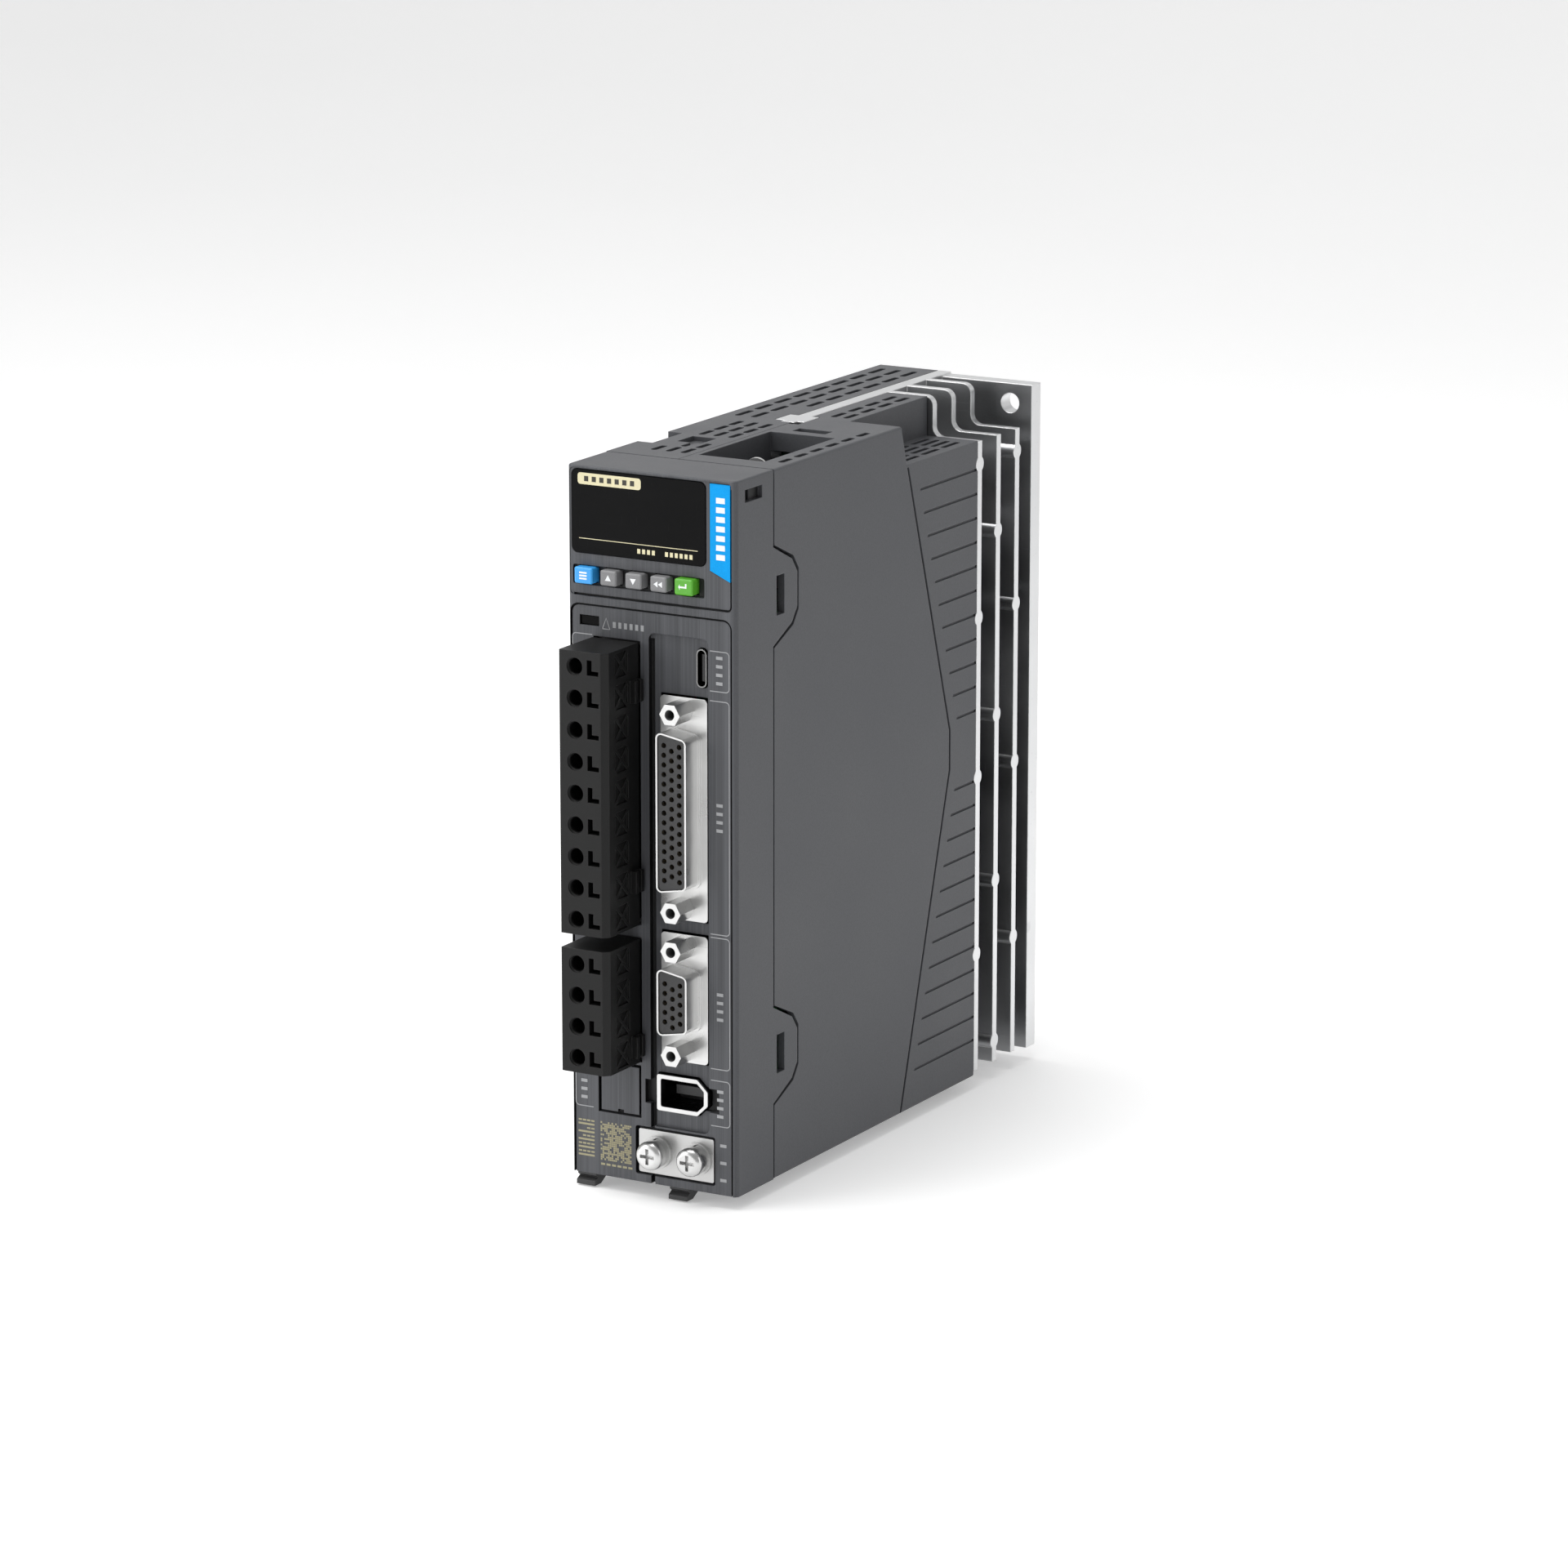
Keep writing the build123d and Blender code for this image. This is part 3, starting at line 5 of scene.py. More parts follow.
import bmesh
import bpy
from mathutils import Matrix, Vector


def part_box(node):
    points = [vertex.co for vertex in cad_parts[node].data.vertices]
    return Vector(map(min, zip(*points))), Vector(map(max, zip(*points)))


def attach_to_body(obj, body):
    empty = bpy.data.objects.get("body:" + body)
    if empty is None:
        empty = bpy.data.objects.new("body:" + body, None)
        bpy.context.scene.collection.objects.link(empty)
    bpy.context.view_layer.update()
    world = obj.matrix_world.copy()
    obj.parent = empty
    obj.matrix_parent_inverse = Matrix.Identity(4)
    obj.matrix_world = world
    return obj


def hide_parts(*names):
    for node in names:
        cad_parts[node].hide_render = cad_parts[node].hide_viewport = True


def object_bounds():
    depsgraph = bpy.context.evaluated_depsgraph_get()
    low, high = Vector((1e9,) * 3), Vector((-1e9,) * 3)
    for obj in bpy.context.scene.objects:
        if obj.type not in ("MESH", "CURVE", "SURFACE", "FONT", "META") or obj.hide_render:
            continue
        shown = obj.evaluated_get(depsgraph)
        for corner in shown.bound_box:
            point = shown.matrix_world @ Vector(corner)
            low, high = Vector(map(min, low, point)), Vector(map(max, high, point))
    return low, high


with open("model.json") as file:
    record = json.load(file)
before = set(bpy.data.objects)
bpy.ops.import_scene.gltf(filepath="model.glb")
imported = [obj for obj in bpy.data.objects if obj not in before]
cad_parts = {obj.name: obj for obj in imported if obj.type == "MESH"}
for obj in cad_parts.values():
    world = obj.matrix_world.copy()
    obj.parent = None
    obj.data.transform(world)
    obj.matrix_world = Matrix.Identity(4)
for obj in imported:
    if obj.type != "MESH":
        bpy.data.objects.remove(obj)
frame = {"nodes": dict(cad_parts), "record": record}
CAD_BOX = [list(corner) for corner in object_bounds()]

MM = 0.001
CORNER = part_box("front_cover")[0]
TOP_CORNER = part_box("front_cover")[1]
WIDTH = (TOP_CORNER.x - CORNER.x) / MM

# depths behind the front face and places on it, in millimetres
PANEL_Y = 0.35
SEAT_Y = 1.3
SUNK_Y = 0.6
SIDE_SLOT_BACK = 18.0
SIDE_SLOT_DEEP = 1.0
SOCKET_TOP = 140.0
WINDOW_Y = 0.15
STRIP_Y = 0.2
MARK_THICK = 0.04
WIRE_X = 10.9
POLE_PITCH = 7.5
COLLAR_Y = -14.75
LOWEST_POLES = (("power_plug", 9, 66.25), ("motor_plug", 4, 33.05))
JACK_HEIGHTS = (68.13, 115.17, 33.805, 58.795)
THREAD_PITCH = 0.5
THREAD_TURNS = 11
LABEL_X = 40.4
BRACKET_LEFT = 37.9
BRACKET_RIGHT = 43.0
RIGHT_BRACKETS = ((120.5, 129.9), (62.8, 118.2), (30.4, 62.0), (16.6, 27.6))

# camera and light
AZIMUTH = math.radians(29.639)
ELEVATION = math.radians(13.663)
DISTANCE = 1.608
LENS_MM = 153.09
SENSOR_MM = 36.0
AIM = (17.831, 70.0, 81.366)
WORLD_STRENGTH = 0.42
FLOOR_GLOW = 0.30


def at(x, y, z):
    """Point given in millimetres from the front lower left corner of the housing."""
    return CORNER + Vector((x, y, z)) * MM


# ---------------------------------------------------------------- node helpers
def add_node(tree, kind, **values):
    """New node with properties and input defaults set by name."""
    node = tree.nodes.new(kind)
    for key, value in values.items():
        if hasattr(node, key) and key not in node.inputs:
            setattr(node, key, value)
        else:
            node.inputs[key].default_value = value
    return node


def math_node(tree, operation, first, second=0.0, clamp=False):
    """Math node whose inputs may be sockets or numbers."""
    node = tree.nodes.new("ShaderNodeMath")
    node.operation = operation
    node.use_clamp = clamp
    for slot, value in zip(node.inputs, (first, second)):
        if isinstance(value, (int, float)):
            slot.default_value = value
        else:
            tree.links.new(value, slot)
    return node.outputs[0]


def range_node(tree, value, low, high, out_low=0.0, out_high=1.0):
    """Clamped map from one range to another."""
    node = tree.nodes.new("ShaderNodeMapRange")
    tree.links.new(value, node.inputs["Value"])
    for name, number in (("From Min", low), ("From Max", high), ("To Min", out_low), ("To Max", out_high)):
        node.inputs[name].default_value = number
    return node.outputs["Result"]


def mix_color(tree, factor, first, second):
    """Colour mix whose inputs may be sockets, numbers or colours."""
    node = tree.nodes.new("ShaderNodeMix")
    node.data_type = "RGBA"
    for slot, value in ((node.inputs[0], factor), (node.inputs[6], first), (node.inputs[7], second)):
        if isinstance(value, bpy.types.NodeSocket):
            tree.links.new(value, slot)
        elif isinstance(value, (int, float)):
            slot.default_value = value
        else:
            slot.default_value = (*value[:3], 1.0)
    return node.outputs[2]


def noise(tree, vector, scale, detail=3.0, roughness=0.5):
    """Noise value over a vector."""
    node = add_node(tree, "ShaderNodeTexNoise", Scale=scale, Detail=detail, Roughness=roughness)
    tree.links.new(vector, node.inputs["Vector"])
    return node.outputs["Fac"]


def stretched(tree, vector, x, y, z):
    """Vector scaled unevenly, for grain that runs one way."""
    node = add_node(tree, "ShaderNodeMapping")
    node.inputs["Scale"].default_value = (x, y, z)
    tree.links.new(vector, node.inputs["Vector"])
    return node.outputs["Vector"]


def axes(tree, vector):
    """Separate X, Y and Z of a vector."""
    split = tree.nodes.new("ShaderNodeSeparateXYZ")
    tree.links.new(vector, split.inputs[0])
    return split.outputs


def normal_axes(tree):
    """Separate X, Y and Z of the flat surface normal."""
    return axes(tree, tree.nodes.new("ShaderNodeNewGeometry").outputs["True Normal"])


def new_group(name, inputs, outputs):
    """Empty shader node group with named sockets."""
    tree = bpy.data.node_groups.new(name, "ShaderNodeTree")
    for label, kind, default in inputs:
        socket = tree.interface.new_socket(name=label, in_out="INPUT", socket_type=kind)
        if default is not None:
            socket.default_value = default
    for label, kind in outputs:
        tree.interface.new_socket(name=label, in_out="OUTPUT", socket_type=kind)
    return tree, tree.nodes.new("NodeGroupInput"), tree.nodes.new("NodeGroupOutput")


FLOAT = "NodeSocketFloat"
VECTOR = "NodeSocketVector"


# ---------------------------------------------------------------- shared surface effects
def build_moulded_grain():
    """Spark-eroded texture of moulded plastic: fine height, slow tone."""
    tree, inside, out = new_group(
        "moulded grain",
        [("Vector", VECTOR, None), ("Grain Size", FLOAT, 0.35), ("Cloud Size", FLOAT, 30.0)],
        [("Height", FLOAT), ("Tone", FLOAT)],
    )
    fine_scale = math_node(tree, "DIVIDE", 1000.0, inside.outputs["Grain Size"])
    cloud_scale = math_node(tree, "DIVIDE", 1000.0, inside.outputs["Cloud Size"])
    fine = tree.nodes.new("ShaderNodeTexNoise")
    fine.inputs["Detail"].default_value = 4.0
    tree.links.new(inside.outputs["Vector"], fine.inputs["Vector"])
    tree.links.new(fine_scale, fine.inputs["Scale"])
    pits = tree.nodes.new("ShaderNodeTexVoronoi")
    tree.links.new(inside.outputs["Vector"], pits.inputs["Vector"])
    tree.links.new(fine_scale, pits.inputs["Scale"])
    height = math_node(tree, "ADD", fine.outputs["Fac"], math_node(tree, "MULTIPLY", pits.outputs["Distance"], 0.5))
    cloud = tree.nodes.new("ShaderNodeTexNoise")
    cloud.inputs["Detail"].default_value = 2.0
    tree.links.new(inside.outputs["Vector"], cloud.inputs["Vector"])
    tree.links.new(cloud_scale, cloud.inputs["Scale"])
    tree.links.new(height, out.inputs["Height"])
    tree.links.new(range_node(tree, cloud.outputs["Fac"], 0.3, 0.7), out.inputs["Tone"])
    return tree


def build_edge_wear_and_highlight():
    """Lighter rubbed edges, partly wear and partly painted highlight, and darker creases as painted shade, from how far
    the rounded normal leans.
    """
    tree, inside, out = new_group(
        "edge wear and highlight",
        [("Vector", VECTOR, None), ("Edge Normal", VECTOR, None), ("Breakup", FLOAT, 0.5)],
        [("Edge", FLOAT)],
    )
    geometry = tree.nodes.new("ShaderNodeNewGeometry")
    lean = tree.nodes.new("ShaderNodeVectorMath")
    lean.operation = "DOT_PRODUCT"
    tree.links.new(geometry.outputs["True Normal"], lean.inputs[0])
    tree.links.new(inside.outputs["Edge Normal"], lean.inputs[1])
    bend = range_node(tree, lean.outputs["Value"], 0.999, 0.86)
    patches = noise(tree, inside.outputs["Vector"], 260.0, 4.0, 0.6)
    kept = range_node(tree, patches, 0.35, 0.62)
    weak = math_node(tree, "SUBTRACT", 1.0, inside.outputs["Breakup"])
    share = math_node(tree, "ADD", weak, math_node(tree, "MULTIPLY", kept, inside.outputs["Breakup"]))
    tree.links.new(math_node(tree, "MULTIPLY", bend, share, clamp=True), out.inputs["Edge"])
    return tree


def build_settled_dust():
    """Thin dust on surfaces that face up."""
    tree, inside, out = new_group(
        "settled dust",
        [("Vector", VECTOR, None), ("Amount", FLOAT, 0.3)],
        [("Dust", FLOAT)],
    )
    facing = range_node(tree, normal_axes(tree)["Z"], 0.4, 0.95)
    patches = range_node(tree, noise(tree, inside.outputs["Vector"], 120.0, 6.0, 0.65), 0.35, 0.75)
    dust = math_node(tree, "MULTIPLY", math_node(tree, "MULTIPLY", facing, patches), inside.outputs["Amount"])
    tree.links.new(dust, out.inputs["Dust"])
    return tree


def build_fine_scratches():
    """Sparse hairline scratches that run two ways."""
    tree, inside, out = new_group(
        "fine scratches",
        [("Vector", VECTOR, None), ("Density", FLOAT, 0.5)],
        [("Scratch", FLOAT)],
    )
    along = noise(tree, stretched(tree, inside.outputs["Vector"], 60.0, 900.0, 2200.0), 1.0, 2.0)
    across = noise(tree, stretched(tree, inside.outputs["Vector"], 2100.0, 70.0, 160.0), 1.0, 2.0)
    lines = math_node(tree, "MAXIMUM", range_node(tree, along, 0.70, 0.74), range_node(tree, across, 0.71, 0.75))
    tree.links.new(math_node(tree, "MULTIPLY", lines, inside.outputs["Density"]), out.inputs["Scratch"])
    return tree


MOULDED_GRAIN = build_moulded_grain()
EDGE_WEAR_AND_HIGHLIGHT = build_edge_wear_and_highlight()
SETTLED_DUST = build_settled_dust()
FINE_SCRATCHES = build_fine_scratches()


def use_group(tree, group, vector=None, **values):
    """Place a shared group in a material with its own values."""
    node = tree.nodes.new("ShaderNodeGroup")
    node.node_tree = group
    if vector is not None:
        tree.links.new(vector, node.inputs["Vector"])
    for name, value in values.items():
        label = name.replace("_", " ")
        if isinstance(value, bpy.types.NodeSocket):
            tree.links.new(value, node.inputs[label])
        else:
            node.inputs[label].default_value = value
    return node


def start_material(name, roughness=0.5, metallic=0.0, edge_mm=0.25):
    """New material with its surface shader, Object coordinates and a rounded-edge normal."""
    material = bpy.data.materials.new(name)
    material.use_nodes = True
    tree = material.node_tree
    shader = tree.nodes["Principled BSDF"]
    shader.inputs["Roughness"].default_value = roughness
    shader.inputs["Metallic"].default_value = metallic
    vector = tree.nodes.new("ShaderNodeTexCoord").outputs["Object"]
    bevel = tree.nodes.new("ShaderNodeBevel")
    bevel.samples = 4
    bevel.inputs["Radius"].default_value = edge_mm * MM
    return material, tree, shader, vector, bevel.outputs["Normal"]


def bump(tree, shader, height, normal, distance_mm, strength=1.0):
    """Feed a height into the shader's normal."""
    node = tree.nodes.new("ShaderNodeBump")
    node.inputs["Distance"].default_value = distance_mm * MM
    node.inputs["Strength"].default_value = strength
    tree.links.new(height, node.inputs["Height"])
    if normal is not None:
        tree.links.new(normal, node.inputs["Normal"])
    tree.links.new(node.outputs["Normal"], shader.inputs["Normal"])


def tint(color, factor):
    """Colour scaled in brightness."""
    return tuple(min(1.0, channel * factor) for channel in color)


# ---------------------------------------------------------------- materials
def moulded_plastic(
    name, color, roughness, grain_mm=0.35, depth_mm=0.02, edge=1.5, dust=0.25, edge_mm=0.25, specular=0.5
):
    """Textured injection moulding with rubbed edges lightened as wear and painted highlight, and a little dust."""
    material, tree, shader, vector, rounded_normal = start_material(name, roughness, 0.0, edge_mm)
    grain = use_group(tree, MOULDED_GRAIN, vector, Grain_Size=grain_mm)
    wear_and_highlight = use_group(tree, EDGE_WEAR_AND_HIGHLIGHT, vector, Edge_Normal=rounded_normal, Breakup=0.35)
    film = use_group(tree, SETTLED_DUST, vector, Amount=dust)
    shader.inputs["Specular IOR Level"].default_value = specular
    base = mix_color(tree, grain.outputs["Tone"], tint(color, 0.93), tint(color, 1.07))
    speck = range_node(tree, grain.outputs["Height"], 0.5, 0.95)
    base = mix_color(tree, math_node(tree, "MULTIPLY", speck, 0.3), base, tint(color, 1.5))
    # Edges lightened by the edge factor: partly rubbed wear, partly painted highlight.
    base = mix_color(tree, wear_and_highlight.outputs["Edge"], base, tint(color, edge))
    base = mix_color(tree, film.outputs["Dust"], base, (0.30, 0.29, 0.27))
    tree.links.new(base, shader.inputs["Base Color"])
    rough = math_node(tree, "ADD", math_node(tree, "MULTIPLY", grain.outputs["Tone"], 0.08), roughness - 0.04)
    rough = math_node(tree, "SUBTRACT", rough, math_node(tree, "MULTIPLY", wear_and_highlight.outputs["Edge"], 0.12))
    tree.links.new(rough, shader.inputs["Roughness"])
    bump(tree, shader, grain.outputs["Height"], rounded_normal, depth_mm, 0.6)
    return material, tree, shader, vector, base


def housing_plastic():
    """Dark grey housing: fine upright brushing on the front panels, painted shade on the recess floors at seat depth
    and on the inner wall of the side slot.
    """
    color = (0.061, 0.063, 0.069)
    # Edge factor 1.9 lightens the edges, partly rubbed wear and partly painted highlight.
    material, tree, shader, vector, base = moulded_plastic("housing_plastic", color, 0.50, 0.42, 0.018, 1.9, 0.06)
    shader.inputs["Specular IOR Level"].default_value = 0.35
    place = axes(tree, vector)
    normal = normal_axes(tree)
    facing = range_node(tree, normal["Y"], -0.5, -0.95)
    depth = range_node(tree, place["Y"], at(0, 2.4, 0).y, at(0, 1.9, 0).y)
    panel = math_node(tree, "MULTIPLY", facing, depth)
    fine = noise(tree, stretched(tree, vector, 2600.0, 300.0, 14.0), 1.0, 3.0, 0.6)
    broad = noise(tree, stretched(tree, vector, 420.0, 60.0, 5.0), 1.0, 2.0, 0.5)
    streak = math_node(tree, "ADD", math_node(tree, "MULTIPLY", fine, 0.55), math_node(tree, "MULTIPLY", broad, 0.45))
    brushed = mix_color(tree, range_node(tree, streak, 0.36, 0.64), tint(color, 0.92), tint(color, 1.60))
    combined = mix_color(tree, panel, base, brushed)
    # Painted shade: front-facing floors at seat depth, and the inner wall of the side slot, darkened to a tenth of the
    # housing colour.
    sunk = range_node(tree, place["Y"], at(0, SUNK_Y, 0).y, at(0, SUNK_Y + 0.15, 0).y)
    from_seat = math_node(tree, "SUBTRACT", place["Y"], at(0, SEAT_Y, 0).y)
    beside_seat = range_node(tree, math_node(tree, "ABSOLUTE", from_seat), 0.03 * MM, 0.05 * MM)
    seat_floor_shade = math_node(tree, "MULTIPLY", math_node(tree, "MULTIPLY", sunk, beside_seat), panel)
    facing_right = range_node(tree, normal["X"], 0.5, 0.9)
    wall_x = WIDTH - SIDE_SLOT_DEEP
    inside_wall = range_node(tree, place["X"], at(wall_x, 0, 0).x, at(wall_x - 0.15, 0, 0).x)
    in_front = range_node(tree, place["Y"], at(0, SIDE_SLOT_BACK, 0).y, at(0, SIDE_SLOT_BACK - 1.0, 0).y)
    slot = math_node(tree, "MULTIPLY", math_node(tree, "MULTIPLY", facing_right, inside_wall), in_front)
    shade = math_node(tree, "MAXIMUM", seat_floor_shade, slot)
    shaded = mix_color(tree, shade, combined, tint(color, 0.10))
    tree.links.new(shaded, shader.inputs["Base Color"])
    return material


def cast_aluminium():
    """Cast heat sink: fine sand texture, cool grey walls darkened as painted shade, top and right-facing faces
    lightened as painted light, edges lightened as rub and painted highlight.
    """
    material, tree, shader, vector, rounded_normal = start_material("cast_aluminium", 0.38, 1.0, 0.35)
    grain = use_group(tree, MOULDED_GRAIN, vector, Grain_Size=0.5, Cloud_Size=22.0)
    wear_and_highlight = use_group(tree, EDGE_WEAR_AND_HIGHLIGHT, vector, Edge_Normal=rounded_normal, Breakup=0.15)
    scratch = use_group(tree, FINE_SCRATCHES, vector, Density=0.5)
    # Wall colour kept dark as painted shade between the fins.
    color = (0.42, 0.425, 0.435)
    base = mix_color(tree, grain.outputs["Tone"], tint(color, 0.85), tint(color, 1.10))
    # Painted light: faces turned up or to the right are lightened.
    normal = normal_axes(tree)
    sideways = range_node(tree, normal["X"], 0.5, 0.9)
    upwards = range_node(tree, normal["Z"], 0.5, 0.9)
    painted_light_faces = math_node(tree, "MAXIMUM", sideways, upwards)
    base = mix_color(tree, painted_light_faces, base, (0.72, 0.725, 0.73))
    # Painted highlight on the edges, together with rub.
    base = mix_color(tree, wear_and_highlight.outputs["Edge"], base, (0.90, 0.90, 0.90))
    base = mix_color(tree, scratch.outputs["Scratch"], base, tint(color, 1.3))
    tree.links.new(base, shader.inputs["Base Color"])
    rough = math_node(tree, "ADD", math_node(tree, "MULTIPLY", grain.outputs["Tone"], 0.14), 0.30)
    tree.links.new(rough, shader.inputs["Roughness"])
    bump(tree, shader, grain.outputs["Height"], rounded_normal, 0.03, 0.7)
    return material


def plated_metal(name, color, roughness, edge_mm=0.15, depth_mm=0.006, socket_shade=0.0):
    """Plated or drawn metal with fine scratches, optionally darkened inside the front sockets as painted shade."""
    material, tree, shader, vector, rounded_normal = start_material(name, roughness, 1.0, edge_mm)
    grain = use_group(tree, MOULDED_GRAIN, vector, Grain_Size=0.25, Cloud_Size=9.0)
    scratch = use_group(tree, FINE_SCRATCHES, vector, Density=0.35)
    base = mix_color(tree, grain.outputs["Tone"], tint(color, 0.92), tint(color, 1.05))
    base = mix_color(tree, scratch.outputs["Scratch"], base, tint(color, 0.7))
    # Painted shade: plating behind the panel face and below the socket top is darkened towards black.
    place = axes(tree, vector)
    deep = range_node(tree, place["Y"], at(0, PANEL_Y + 0.05, 0).y, at(0, PANEL_Y + 0.35, 0).y)
    below_top = range_node(tree, place["Z"], at(0, 0, SOCKET_TOP).z, at(0, 0, SOCKET_TOP - 1.0).z)
    inside_socket = math_node(tree, "MULTIPLY", deep, below_top)
    base = mix_color(tree, math_node(tree, "MULTIPLY", inside_socket, socket_shade), base, tint(color, 0.08))
    tree.links.new(base, shader.inputs["Base Color"])
    rough = math_node(tree, "ADD", math_node(tree, "MULTIPLY", grain.outputs["Tone"], 0.10), roughness - 0.05)
    tree.links.new(rough, shader.inputs["Roughness"])
    bump(tree, shader, grain.outputs["Height"], rounded_normal, depth_mm, 0.5)
    return material


def glossy_window():
    """Dark polished window with faint wipe marks."""
    material, tree, shader, vector, rounded_normal = start_material("window_gloss", 0.12, 0.0, 0.2)
    shader.inputs["Specular IOR Level"].default_value = 0.05
    wipe = noise(tree, stretched(tree, vector, 40.0, 40.0, 140.0), 1.0, 5.0, 0.6)
    scratch = use_group(tree, FINE_SCRATCHES, vector, Density=0.25)
    base = mix_color(tree, wipe, (0.0050, 0.0050, 0.0052), (0.0075, 0.0075, 0.0078))
    tree.links.new(base, shader.inputs["Base Color"])
    rough = math_node(tree, "ADD", range_node(tree, wipe, 0.4, 0.8, 0.14, 0.24), scratch.outputs["Scratch"])
    tree.links.new(rough, shader.inputs["Roughness"])
    bump(tree, shader, wipe, rounded_normal, 0.004, 0.2)
    return material


def printed_ink(name, color, roughness=0.55, uneven=0.12):
    """Screen-printed ink with slight unevenness."""
    material, tree, shader, vector, _ = start_material(name, roughness)
    blot = noise(tree, vector, 1500.0, 3.0, 0.6)
    base = mix_color(tree, blot, tint(color, 1.0 - uneven), tint(color, 1.0 + uneven))
    tree.links.new(base, shader.inputs["Base Color"])
    rough = range_node(tree, blot, 0.3, 0.7, roughness - 0.08, roughness + 0.08)
    tree.links.new(rough, shader.inputs["Roughness"])
    bump(tree, shader, blot, None, 0.004, 0.3)
    return material


def circuit_laminate():
    """Green laminate with copper tracks under the solder mask."""
    material, tree, shader, vector, rounded_normal = start_material("circuit_laminate", 0.35, 0.0, 0.1)
    tracks = tree.nodes.new("ShaderNodeTexBrick")
    tracks.inputs["Scale"].default_value = 260.0
    tracks.inputs["Mortar Size"].default_value = 0.04
    swap = tree.nodes.new("ShaderNodeVectorRotate")
    swap.inputs["Axis"].default_value = (0.0, 1.0, 0.0)
    swap.inputs["Angle"].default_value = math.radians(90)
    tree.links.new(vector, swap.inputs["Vector"])
    tree.links.new(swap.outputs["Vector"], tracks.inputs["Vector"])
    base = mix_color(tree, tracks.outputs["Fac"], (0.012, 0.10, 0.035), (0.05, 0.22, 0.06))
    tree.links.new(base, shader.inputs["Base Color"])
    bump(tree, shader, tracks.outputs["Fac"], rounded_normal, 0.03, 0.5)
    return material


def wound_copper(name, color):
    """Close-wound turns seen as fine ridges."""
    material, tree, shader, vector, rounded_normal = start_material(name, 0.35, 0.2, 0.2)
    turns = tree.nodes.new("ShaderNodeTexWave")
    turns.inputs["Scale"].default_value = 320.0
    turns.inputs["Distortion"].default_value = 0.6
    tree.links.new(vector, turns.inputs["Vector"])
    base = mix_color(tree, turns.outputs["Fac"], tint(color, 0.6), tint(color, 1.15))
    tree.links.new(base, shader.inputs["Base Color"])
    bump(tree, shader, turns.outputs["Fac"], rounded_normal, 0.15, 0.7)
    return material


BLACK = (0.0125, 0.0125, 0.013)
# In each moulded plastic the factor after the grain depth lightens its edges, partly rubbed wear and partly painted
# highlight.
MATERIALS = {
    "housing": housing_plastic(),
    "window": glossy_window(),
    "strip": moulded_plastic("strip_blue", (0.0, 0.30, 0.74), 0.42, 0.3, 0.004, 1.2, 0.0, 0.1, 0.12)[0],
    "key_blue": moulded_plastic("key_blue", (0.035, 0.34, 0.86), 0.40, 0.25, 0.006, 1.5, 0.0, 0.3)[0],
    "key_grey": moulded_plastic("key_grey", (0.20, 0.20, 0.205), 0.42, 0.25, 0.006, 1.5, 0.0, 0.3)[0],
    "key_green": moulded_plastic("key_green", (0.085, 0.36, 0.022), 0.40, 0.25, 0.006, 1.5, 0.0, 0.3)[0],
    "sink": cast_aluminium(),
    "plug": moulded_plastic("plug_black", (0.0052, 0.0052, 0.0052), 0.46, 0.3, 0.012, 3.4, 0.02, 0.25, 0.26)[0],
    "black_part": moulded_plastic("insulator_black", (0.030, 0.030, 0.031), 0.48, 0.3, 0.01, 1.8, 0.04, 0.15)[0],
    "plated": plated_metal("bright_plating", (0.66, 0.66, 0.655), 0.30, socket_shade=1.0),
    "plated_plate": plated_metal("zinc_plate", (0.56, 0.56, 0.555), 0.38),
    "contact": plated_metal("gold_contact", (0.90, 0.66, 0.28), 0.28),
    "clamp": plated_metal("tinned_clamp", (0.62, 0.61, 0.58), 0.36),
    "board": circuit_laminate(),
    "chip": moulded_plastic("chip_black", BLACK, 0.55, 0.2, 0.01, 1.5, 0.1)[0],
    "capacitor": moulded_plastic("capacitor_sleeve", (0.012, 0.018, 0.05), 0.30, 0.6, 0.006, 1.5, 0.05)[0],
    "winding": wound_copper("taped_winding", (0.45, 0.36, 0.09)),
    "choke": wound_copper("enamelled_winding", (0.40, 0.14, 0.04)),
    "relay": moulded_plastic("relay_pale", (0.50, 0.50, 0.48), 0.5)[0],
    "pad": moulded_plastic("heat_pad", (0.36, 0.36, 0.40), 0.8, 0.6, 0.03)[0],
    "brass": plated_metal("turned_brass", (0.78, 0.58, 0.25), 0.3),
    "digit": moulded_plastic("display_red", (0.16, 0.012, 0.010), 0.3, 0.4, 0.004)[0],
}
INK_WHITE = printed_ink("ink_white", (0.86, 0.88, 0.90))
INK_GREY = printed_ink("ink_grey", (0.33, 0.335, 0.345))
INK_CREAM = printed_ink("ink_cream", (0.74, 0.68, 0.44))
INK_GOLD = printed_ink("ink_gold", (0.34, 0.31, 0.19))
INK_DARK = printed_ink("ink_dark", (0.035, 0.032, 0.022))


def finish_cad_nodes():
    """Give every carried-over node the material of its slot."""
    for part in frame["record"]["subparts"]:
        node = frame["nodes"][part["node"]]
        material = MATERIALS[part["material_slot"]]
        if not node.data.materials:
            node.data.materials.append(material)
        for slot in node.material_slots:
            slot.material = material


# ---------------------------------------------------------------- mesh helpers
def mesh_object(name, build, material):
    """New object at the origin from a function that fills a bmesh."""
    bm = bmesh.new()
    build(bm)
    bmesh.ops.recalc_face_normals(bm, faces=bm.faces)
    mesh = bpy.data.meshes.new(name)
    bm.to_mesh(mesh)
    bm.free()
    mesh.materials.append(material)
    obj = bpy.data.objects.new(name, mesh)
    bpy.context.scene.collection.objects.link(obj)
    return obj


def attach(obj, body, slot, *nodes):
    """Put the piece under its body and hide the nodes that it stands for; its finish is not used."""
    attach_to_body(obj, body)
    if nodes:
        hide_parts(*nodes)
    return obj


